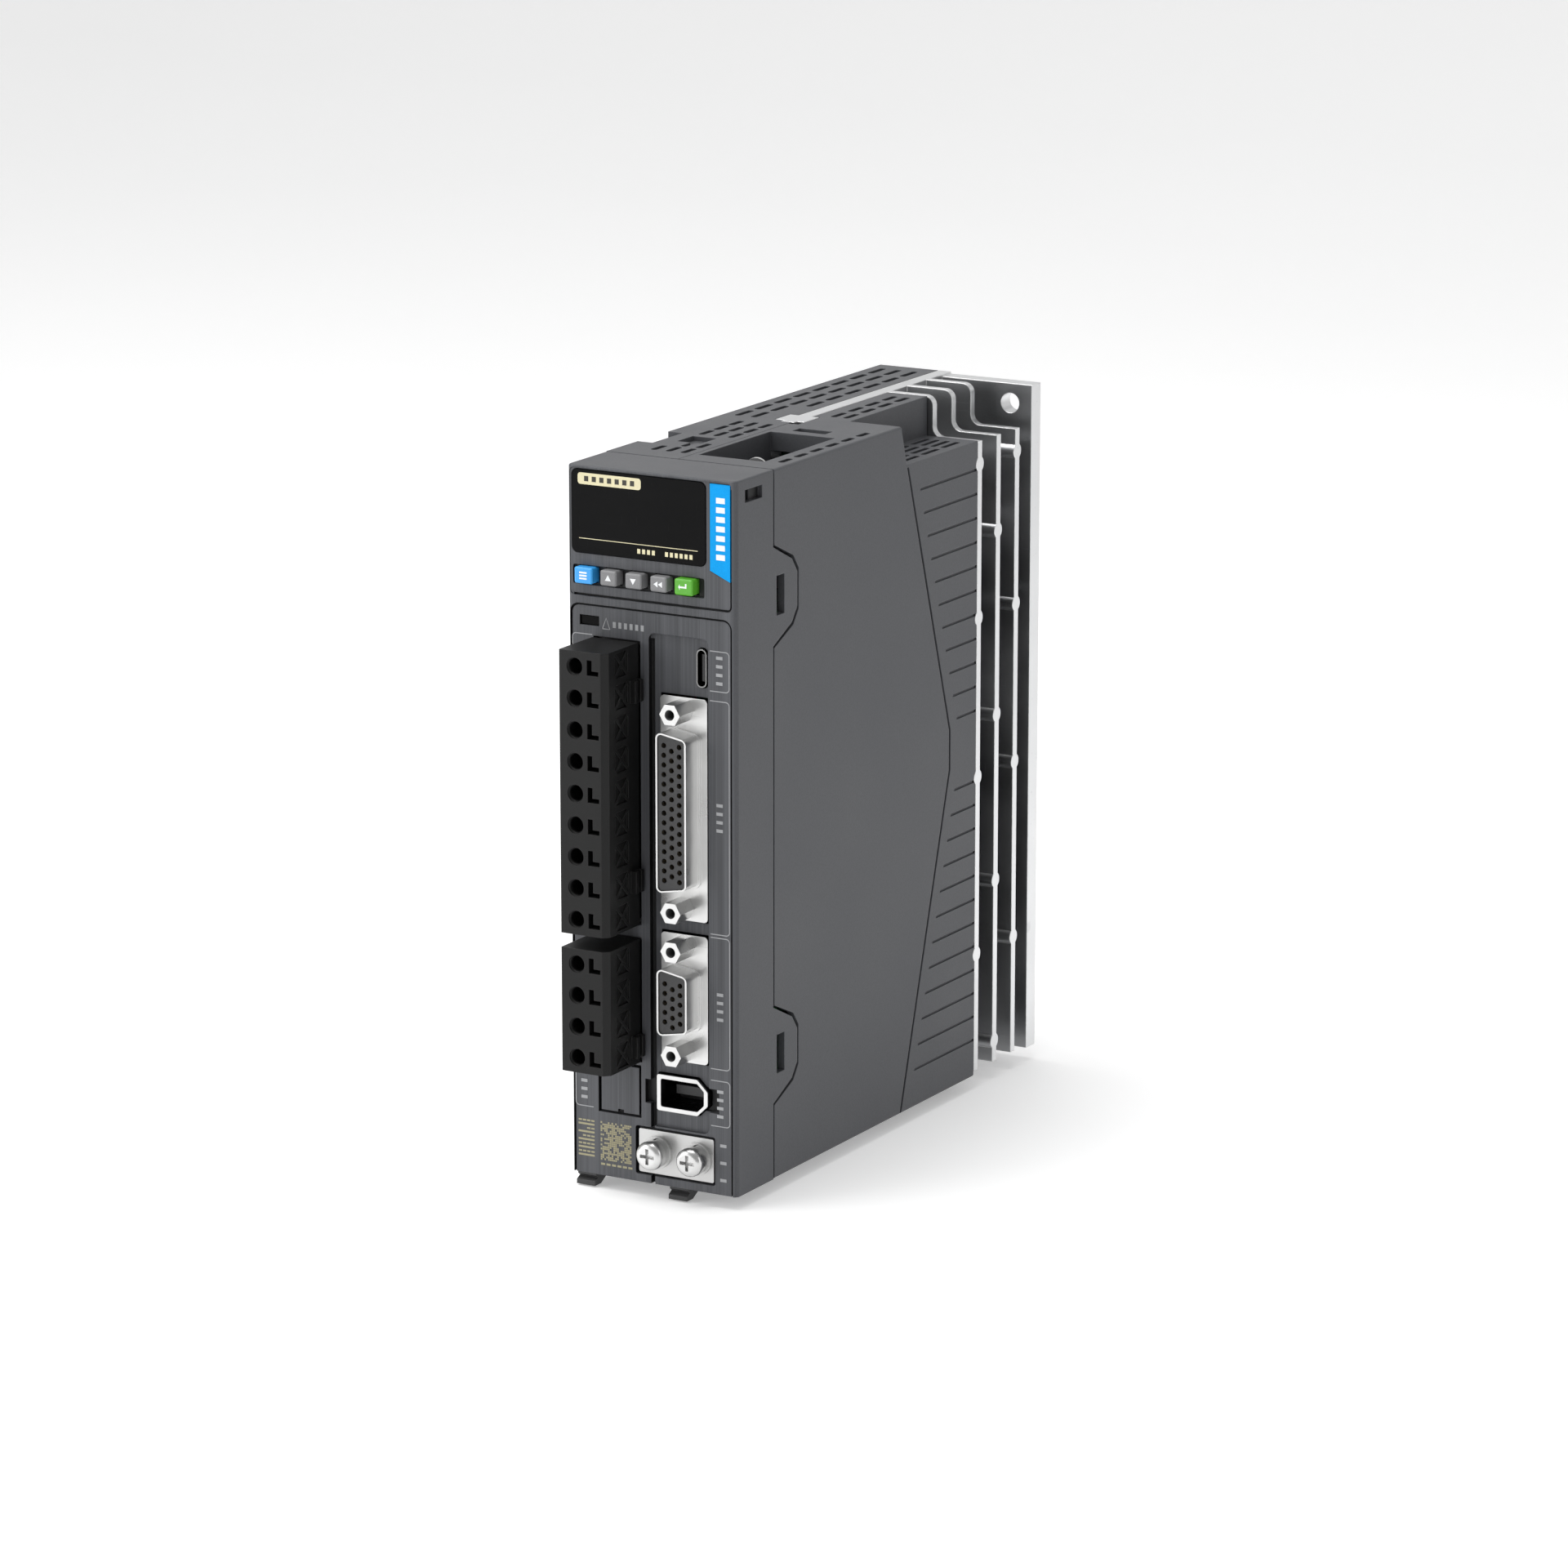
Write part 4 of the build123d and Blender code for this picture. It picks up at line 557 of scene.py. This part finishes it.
def prism(bm, points, y_front, y_back):
    """Upright prism from an outline of (x, z) millimetres between two depths."""
    front = [bm.verts.new(at(x, y_front, z)) for x, z in points]
    back = [bm.verts.new(at(x, y_back, z)) for x, z in points]
    bm.faces.new(front)
    bm.faces.new(list(reversed(back)))
    count = len(points)
    for index in range(count):
        after = (index + 1) % count
        bm.faces.new((front[after], front[index], back[index], back[after]))


def round_rect(x0, x1, z0, z1, radius, steps=4):
    """Outline of a rectangle with round corners."""
    radius = min(radius, (x1 - x0) / 2 - 0.001, (z1 - z0) / 2 - 0.001)
    points = []
    corners = ((x1, z1, 0), (x0, z1, 90), (x0, z0, 180), (x1, z0, 270))
    for x, z, turn in corners:
        cx = x - radius if x == x1 else x + radius
        cz = z - radius if z == z1 else z + radius
        for step in range(steps + 1):
            angle = math.radians(turn + 90 * step / steps)
            points.append((cx + radius * math.cos(angle), cz + radius * math.sin(angle)))
    return points


def prism_strip(bm, left, right, y_front, y_back):
    """Solid strip between two edge lines of (x, z) millimetres."""
    rings = []
    for one, other in zip(left, right):
        corners = ((one, y_front), (other, y_front), (other, y_back), (one, y_back))
        rings.append([bm.verts.new(at(x, y, z)) for (x, z), y in corners])
    for first, second in zip(rings, rings[1:]):
        for index in range(4):
            after = (index + 1) % 4
            bm.faces.new((first[index], first[after], second[after], second[index]))
    bm.faces.new(list(reversed(rings[0])))
    bm.faces.new(rings[-1])


def ribbon(bm, points, wide, y_front, y_back):
    """Line of even width through (x, z) points."""
    left, right = [], []
    for index, point in enumerate(points):
        before = Vector(points[max(index - 1, 0)])
        after = Vector(points[min(index + 1, len(points) - 1)])
        along = (after - before).normalized()
        side = Vector((-along.y, along.x)) * wide / 2
        left.append(tuple(Vector(point) + side))
        right.append(tuple(Vector(point) - side))
    prism_strip(bm, left, right, y_front, y_back)


def bracket(bm, x0, x1, z0, z1, y, open_side="left", wide=0.22, radius=0.9):
    """Rounded bracket line around a label, open towards its socket."""
    corner = []
    for turn in range(0, 91, 15):
        angle = math.radians(turn)
        corner.append((radius * (1 - math.sin(angle)), radius * (1 - math.cos(angle))))
    if open_side == "left":
        far, near, sign = x1, x0, -1
    else:
        far, near, sign = x0, x1, 1
    top = [(near, z1)] + [(far + sign * cx, z1 - cz) for cx, cz in corner]
    low = [(far + sign * cx, z0 + cz) for cx, cz in reversed(corner)] + [(near, z0)]
    ribbon(bm, top + low, wide, y - MARK_THICK, y)


# ---------------------------------------------------------------- geometry node helpers
def new_tree(name, inputs):
    """Geometry node tree with named inputs; returns the tree and its ends."""
    tree = bpy.data.node_groups.new(name, "GeometryNodeTree")
    tree.interface.new_socket(name="Geometry", in_out="INPUT", socket_type="NodeSocketGeometry")
    for label, kind, default in inputs:
        socket = tree.interface.new_socket(name=label, in_out="INPUT", socket_type=kind)
        if default is not None:
            socket.default_value = default
    tree.interface.new_socket(name="Geometry", in_out="OUTPUT", socket_type="NodeSocketGeometry")
    return tree, tree.nodes.new("NodeGroupInput"), tree.nodes.new("NodeGroupOutput")


def realize_and_paint(tree, stamp, inside, out):
    """End of a tree: instances made real and given the material."""
    solid = tree.nodes.new("GeometryNodeRealizeInstances")
    tree.links.new(stamp.outputs[0], solid.inputs[0])
    paint = tree.nodes.new("GeometryNodeSetMaterial")
    tree.links.new(solid.outputs[0], paint.inputs["Geometry"])
    tree.links.new(inside.outputs["Material"], paint.inputs["Material"])
    tree.links.new(paint.outputs[0], out.inputs[0])


def run_tree(obj, tree, values):
    """Run a tree on an object with its inputs set, and keep the result as a plain mesh."""
    modifier = obj.modifiers.new(tree.name, "NODES")
    modifier.node_group = tree
    for item in tree.interface.items_tree:
        if item.item_type == "SOCKET" and item.in_out == "INPUT" and item.name in values:
            modifier[item.identifier] = values[item.name]
    bpy.context.view_layer.update()
    graph = bpy.context.evaluated_depsgraph_get()
    mesh = bpy.data.meshes.new_from_object(obj.evaluated_get(graph), depsgraph=graph)
    obj.modifiers.clear()
    obj.data = mesh
    return obj


def build_grid_of_marks():
    """Marks on an upright grid, some left out by a fixed seed."""
    tree, inside, out = new_tree(
        "grid of marks",
        [
            ("Start", VECTOR, None),
            ("Pitch X", FLOAT, 1.0),
            ("Pitch Z", FLOAT, 1.0),
            ("Count X", "NodeSocketInt", 4),
            ("Count Z", "NodeSocketInt", 4),
            ("Share", FLOAT, 1.0),
            ("Seed", "NodeSocketInt", 1),
            ("Material", "NodeSocketMaterial", None),
        ],
    )
    link = tree.links.new
    columns = inside.outputs["Count X"]
    points = tree.nodes.new("GeometryNodePoints")
    link(math_node(tree, "MULTIPLY", columns, inside.outputs["Count Z"]), points.inputs["Count"])
    index = tree.nodes.new("GeometryNodeInputIndex").outputs[0]
    column = math_node(tree, "MODULO", index, columns)
    row = math_node(tree, "FLOOR", math_node(tree, "DIVIDE", index, columns))
    place = tree.nodes.new("ShaderNodeCombineXYZ")
    link(math_node(tree, "MULTIPLY", column, inside.outputs["Pitch X"]), place.inputs["X"])
    link(math_node(tree, "MULTIPLY", row, inside.outputs["Pitch Z"]), place.inputs["Z"])
    shift = tree.nodes.new("ShaderNodeVectorMath")
    shift.operation = "ADD"
    link(place.outputs[0], shift.inputs[0])
    link(inside.outputs["Start"], shift.inputs[1])
    link(shift.outputs[0], points.inputs["Position"])
    chance = tree.nodes.new("FunctionNodeRandomValue")
    chance.data_type = "BOOLEAN"
    link(inside.outputs["Share"], chance.inputs["Probability"])
    link(inside.outputs["Seed"], chance.inputs["Seed"])
    stamp = tree.nodes.new("GeometryNodeInstanceOnPoints")
    link(points.outputs[0], stamp.inputs["Points"])
    link(inside.outputs["Geometry"], stamp.inputs["Instance"])
    link(chance.outputs[3], stamp.inputs["Selection"])
    realize_and_paint(tree, stamp, inside, out)
    return tree


def build_row_in_depth():
    """The same ring repeated backwards at an even pitch."""
    tree, inside, out = new_tree(
        "row in depth",
        [
            ("Start", VECTOR, None),
            ("Step", VECTOR, None),
            ("Count", "NodeSocketInt", 4),
            ("Material", "NodeSocketMaterial", None),
        ],
    )
    link = tree.links.new
    line = tree.nodes.new("GeometryNodeMeshLine")
    line.mode = "OFFSET"
    link(inside.outputs["Count"], line.inputs["Count"])
    link(inside.outputs["Start"], line.inputs["Start Location"])
    link(inside.outputs["Step"], line.inputs["Offset"])
    stamp = tree.nodes.new("GeometryNodeInstanceOnPoints")
    link(line.outputs[0], stamp.inputs["Points"])
    link(inside.outputs["Geometry"], stamp.inputs["Instance"])
    realize_and_paint(tree, stamp, inside, out)
    return tree


GRID_OF_MARKS = build_grid_of_marks()
ROW_IN_DEPTH = build_row_in_depth()


def stamped_grid(name, size, start, pitch, count, material, share=1.0, seed=1, thick=MARK_THICK):
    """Rectangular marks of one size repeated on an upright grid."""
    wide, tall = size

    def build(bm):
        half_x, half_z = wide / 2, tall / 2
        points = [(-half_x, -half_z), (half_x, -half_z), (half_x, half_z), (-half_x, half_z)]
        front = [bm.verts.new(Vector((x, -thick, z)) * MM) for x, z in points]
        back = [bm.verts.new(Vector((x, 0.0, z)) * MM) for x, z in points]
        bm.faces.new(front)
        bm.faces.new(list(reversed(back)))
        for index in range(4):
            after = (index + 1) % 4
            bm.faces.new((front[after], front[index], back[index], back[after]))

    obj = mesh_object(name, build, material)
    values = {
        "Start": at(*start),
        "Pitch X": pitch[0] * MM,
        "Pitch Z": pitch[1] * MM,
        "Count X": count[0],
        "Count Z": count[1],
        "Share": share,
        "Seed": seed,
        "Material": material,
    }
    return run_tree(obj, GRID_OF_MARKS, values)


# ---------------------------------------------------------------- printed marks
def panel_brackets():
    """Rounded bracket lines beside the sockets."""
    def build(bm):
        for z0, z1 in RIGHT_BRACKETS:
            bracket(bm, BRACKET_LEFT, BRACKET_RIGHT, z0, z1, PANEL_Y)
        bracket(bm, 1.1, 6.4, 127.0, 130.3, PANEL_Y, "right")
        bracket(bm, 1.1, 5.9, 16.4, 29.5, PANEL_Y, "right")

    return attach(mesh_object("panel_brackets", build, INK_GREY), "drive", "housing")


def label_ticks():
    """Short generic strokes where port names would be printed."""
    rows = (
        ("ticks_service", (LABEL_X, PANEL_Y, 122.4), 4, 1),
        ("ticks_io", (LABEL_X, PANEL_Y, 87.6), 4, 2),
        ("ticks_feedback", (LABEL_X, PANEL_Y, 42.4), 4, 3),
        ("ticks_motor", (LABEL_X, PANEL_Y, 19.0), 4, 4),
        ("ticks_earth", (41.2, PANEL_Y, 3.6), 3, 5),
        ("ticks_port", (3.4, PANEL_Y, 18.6), 4, 6),
    )
    for name, start, count, seed in rows:
        pitch = 4.2 if name == "ticks_earth" else 2.0
        obj = stamped_grid(name, (1.7, 0.75), start, (1.0, pitch), (1, count), INK_GREY, 1.0, seed)
        attach(obj, "drive", "housing")
    obj = stamped_grid("ticks_warning", (0.8, 1.4), (12.4, PANEL_Y, 133.2), (1.5, 1.0), (6, 1), INK_GREY)
    attach(obj, "drive", "housing")


def warning_frame():
    """Plain outlined triangle beside the lamp."""
    def build(bm):
        ribbon(bm, [(9.2, 132.0), (11.2, 132.0), (10.2, 134.6), (9.2, 132.0)], 0.25, PANEL_Y - MARK_THICK, PANEL_Y)

    return attach(mesh_object("warning_frame", build, INK_GREY), "drive", "housing")


def rating_block():
    """Gold field of meaningless dots and bars at the lower left."""
    dots = stamped_grid("rating_dots", (0.42, 0.42), (8.0, PANEL_Y, 4.0), (0.5, 0.5), (17, 19), INK_GOLD, 0.68, 7)
    attach(dots, "drive", "housing")
    bars = stamped_grid("rating_bars", (4.4, 0.45), (3.9, PANEL_Y, 4.4), (1.0, 1.9), (1, 5), INK_GOLD)
    attach(bars, "drive", "housing")
    dashes = stamped_grid("rating_dashes", (0.9, 0.4), (2.2, PANEL_Y, 5.3), (1.15, 1.9), (4, 5), INK_GOLD, 0.8, 11)
    attach(dashes, "drive", "housing")
    foot = stamped_grid("rating_foot", (1.1, 0.5), (8.4, PANEL_Y, 2.8), (1.5, 1.0), (6, 1), INK_GOLD)
    attach(foot, "drive", "housing")


def window_marks():
    """Cream plate, thin line and two status marks on the window."""
    def plate(bm):
        prism(bm, round_rect(2.9, 19.8, 165.6, 168.3, 0.7), WINDOW_Y - MARK_THICK, WINDOW_Y)

    def line(bm):
        ribbon(bm, [(3.2, 152.9), (34.9, 152.9)], 0.16, WINDOW_Y - MARK_THICK, WINDOW_Y)

    attach(mesh_object("window_plate", plate, INK_CREAM), "drive", "window")
    attach(mesh_object("window_line", line, INK_CREAM), "drive", "window")
    ticks = stamped_grid("plate_ticks", (1.1, 1.2), (5.2, WINDOW_Y - MARK_THICK, 166.95), (2.05, 1.0), (7, 1), INK_DARK)
    attach(ticks, "drive", "window")
    left = stamped_grid("status_left", (0.8, 1.1), (19.2, WINDOW_Y, 151.3), (1.3, 1.0), (4, 1), INK_CREAM)
    right = stamped_grid("status_right", (0.8, 1.1), (26.6, WINDOW_Y, 151.3), (1.3, 1.0), (6, 1), INK_CREAM)
    attach(left, "drive", "window")
    attach(right, "drive", "window")


def strip_marks():
    """Plain white blocks up the blue strip."""
    marks = stamped_grid("strip_blocks", (2.3, 1.3), (40.9, STRIP_Y, 152.0), (1.0, 2.2), (1, 7), INK_WHITE)
    attach(marks, "drive", "strip")


# ---------------------------------------------------------------- keys
KEYS = (
    ("key_mode", "key_blue", "menu"),
    ("key_up", "key_grey", "up"),
    ("key_down", "key_grey", "down"),
    ("key_shift", "key_grey", "shift"),
    ("key_set", "key_green", "enter"),
)


def key_symbol(kind, x, z):
    """Outlines of a generic white symbol, centred on a key."""
    if kind == "up":
        return [[(x - 0.8, z - 0.6), (x + 0.8, z - 0.6), (x, z + 0.8)]]
    if kind == "down":
        return [[(x - 0.8, z + 0.6), (x, z - 0.8), (x + 0.8, z + 0.6)]]
    if kind == "shift":
        left = [(x - 0.1, z - 0.7), (x - 0.1, z + 0.7), (x - 1.2, z)]
        right = [(x + 1.1, z - 0.7), (x + 1.1, z + 0.7), (x, z)]
        return [left, right]
    if kind == "menu":
        lines = [(z + height, z + height + 0.4) for height in (-0.9, -0.2, 0.5)]
        return [[(x - 1.0, low), (x + 1.0, low), (x + 1.0, high), (x - 1.0, high)] for low, high in lines]
    return [
        [(x - 0.9, z - 0.2), (x + 0.9, z - 0.2), (x + 0.9, z + 0.2), (x - 0.9, z + 0.2)],
        [(x + 0.5, z + 0.2), (x + 0.9, z + 0.2), (x + 0.9, z + 0.9), (x + 0.5, z + 0.9)],
        [(x - 0.9, z - 0.7), (x - 0.9, z + 0.7), (x - 1.3, z)],
    ]


def key_marks():
    """White symbols on the key caps."""
    for node, slot, kind in KEYS:
        low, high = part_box(node)
        x = ((low.x + high.x) / 2 - CORNER.x) / MM
        z = ((low.z + high.z) / 2 - CORNER.z) / MM
        y = (low.y - CORNER.y) / MM

        def build(bm, outlines=key_symbol(kind, x, z), face=y):
            for points in outlines:
                prism(bm, points, face - 0.005, face + 0.05)

        obj = mesh_object(node + "_mark", build, INK_WHITE)
        attach(obj, node + "_button", slot)


# ---------------------------------------------------------------- rings in round openings
def ring(bm, x, z, profile, steps=28):
    """Ring about a depth axis from a closed profile of (radius, depth) millimetres."""
    loops = []
    for step in range(steps):
        angle = 2 * math.pi * step / steps
        loop = []
        for radius, depth in profile:
            place = Vector((x + radius * math.cos(angle), depth, z + radius * math.sin(angle)))
            loop.append(bm.verts.new(place * MM))
        loops.append(loop)
    count = len(profile)
    for step in range(steps):
        here, there = loops[step], loops[(step + 1) % steps]
        for index in range(count):
            after = (index + 1) % count
            bm.faces.new((here[index], here[after], there[after], there[index]))


def jack_threads_in_painted_shade():
    """Thread turns in the mouths of the four jack screws, coloured black as painted shade in the bores."""
    low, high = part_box("connector_jackscrews")
    front = (low.y - CORNER.y) / MM
    x = ((low.x + high.x) / 2 - CORNER.x) / MM

    def build(bm):
        for z in JACK_HEIGHTS:
            ring(bm, x, z, ((1.24, 0.0), (1.02, 0.21), (1.02, 0.25), (1.24, 0.46)))

    obj = mesh_object("jack_threads_in_painted_shade", build, MATERIALS["black_part"])
    values = {
        "Start": at(0, front + 0.12, 0),
        "Step": Vector((0, THREAD_PITCH, 0)) * MM,
        "Count": THREAD_TURNS,
        "Material": MATERIALS["black_part"],
    }
    attach(run_tree(obj, ROW_IN_DEPTH, values), "drive", "black_part")


def entry_collars():
    """Funnel rims in the wire entries of both plugs."""

    def build(bm):
        ring(bm, 0, 0, ((2.08, 0.0), (1.80, 0.5), (1.80, 1.0), (2.08, 1.0)), 32)

    for body, ways, first in LOWEST_POLES:
        obj = mesh_object(body + "_collars", build, MATERIALS["plug"])
        values = {
            "Start": at(WIRE_X, COLLAR_Y, first),
            "Pitch Z": POLE_PITCH * MM,
            "Count X": 1,
            "Count Z": ways,
            "Share": 1.0,
            "Material": MATERIALS["plug"],
        }
        attach(run_tree(obj, GRID_OF_MARKS, values), body, "plug")


# ---------------------------------------------------------------- studio
def floor():
    """Plain pale floor with a soft rise behind."""
    low_z = CAD_BOX[0][2] - 0.0004

    def build(bm):
        profile = [(-3.0, 0.0), (1.2, 0.0)]
        for turn in range(1, 13):
            angle = math.radians(90 * turn / 12)
            profile.append((1.2 + 1.6 * math.sin(angle), 1.6 * (1 - math.cos(angle))))
        profile.append((2.8, 5.0))
        rows = [[bm.verts.new((x, y, low_z + z)) for y, z in profile] for x in (-4.0, 4.0)]
        for index in range(len(profile) - 1):
            bm.faces.new((rows[0][index], rows[1][index], rows[1][index + 1], rows[0][index + 1]))

    material, tree, shader, vector, _ = start_material("pale_floor", 0.75)
    cloud = noise(tree, vector, 3.0, 3.0)
    tree.links.new(mix_color(tree, cloud, (0.86, 0.86, 0.86), (0.90, 0.90, 0.90)), shader.inputs["Base Color"])
    shader.inputs["Emission Color"].default_value = (1.0, 1.0, 1.0, 1.0)
    shader.inputs["Emission Strength"].default_value = FLOOR_GLOW
    obj = mesh_object("floor", build, material)
    for face in obj.data.polygons:
        face.use_smooth = True
    return obj


def area_light(name, place, target, size, power, color=(1.0, 1.0, 1.0)):
    """Soft rectangular light aimed at a point."""
    light = bpy.data.lights.new(name, "AREA")
    light.shape = "RECTANGLE"
    light.size, light.size_y = size
    light.energy = power
    light.color = color
    obj = bpy.data.objects.new(name, light)
    bpy.context.scene.collection.objects.link(obj)
    obj.location = place
    obj.rotation_euler = (Vector(target) - Vector(place)).to_track_quat("-Z", "Y").to_euler()
    return obj


def studio():
    """Even pale surroundings with a large top light and two weaker side lights."""
    world = bpy.data.worlds.new("studio")
    world.use_nodes = True
    tree = world.node_tree
    back = tree.nodes["Background"]
    back.inputs["Color"].default_value = (1.0, 1.0, 1.0, 1.0)
    back.inputs["Strength"].default_value = WORLD_STRENGTH
    bpy.context.scene.world = world
    bpy.context.scene.view_settings.view_transform = "Standard"
    centre = (0.0, -0.08, 0.0)
    area_light("top_light", (-0.25, -0.25, 1.0), centre, (0.9, 0.9), 11.0)
    area_light("front_light", (-0.8, -1.0, 0.30), centre, (0.6, 0.8), 4.2)
    area_light("right_light", (1.25, -0.25, 0.25), centre, (0.4, 0.8), 1.6)


def camera():
    """Long lens from the front right, a little above."""
    back = Vector(
        (
            math.sin(AZIMUTH) * math.cos(ELEVATION),
            -math.cos(AZIMUTH) * math.cos(ELEVATION),
            math.sin(ELEVATION),
        )
    )
    data = bpy.data.cameras.new("camera")
    data.lens = LENS_MM
    data.sensor_width = SENSOR_MM
    data.clip_end = 20.0
    obj = bpy.data.objects.new("camera", data)
    bpy.context.scene.collection.objects.link(obj)
    obj.location = at(*AIM) + back * DISTANCE
    obj.rotation_euler = (-back).to_track_quat("-Z", "Y").to_euler()
    bpy.context.scene.camera = obj


finish_cad_nodes()
panel_brackets()
label_ticks()
warning_frame()
rating_block()
window_marks()
strip_marks()
key_marks()
jack_threads_in_painted_shade()
entry_collars()
floor()
studio()
camera()
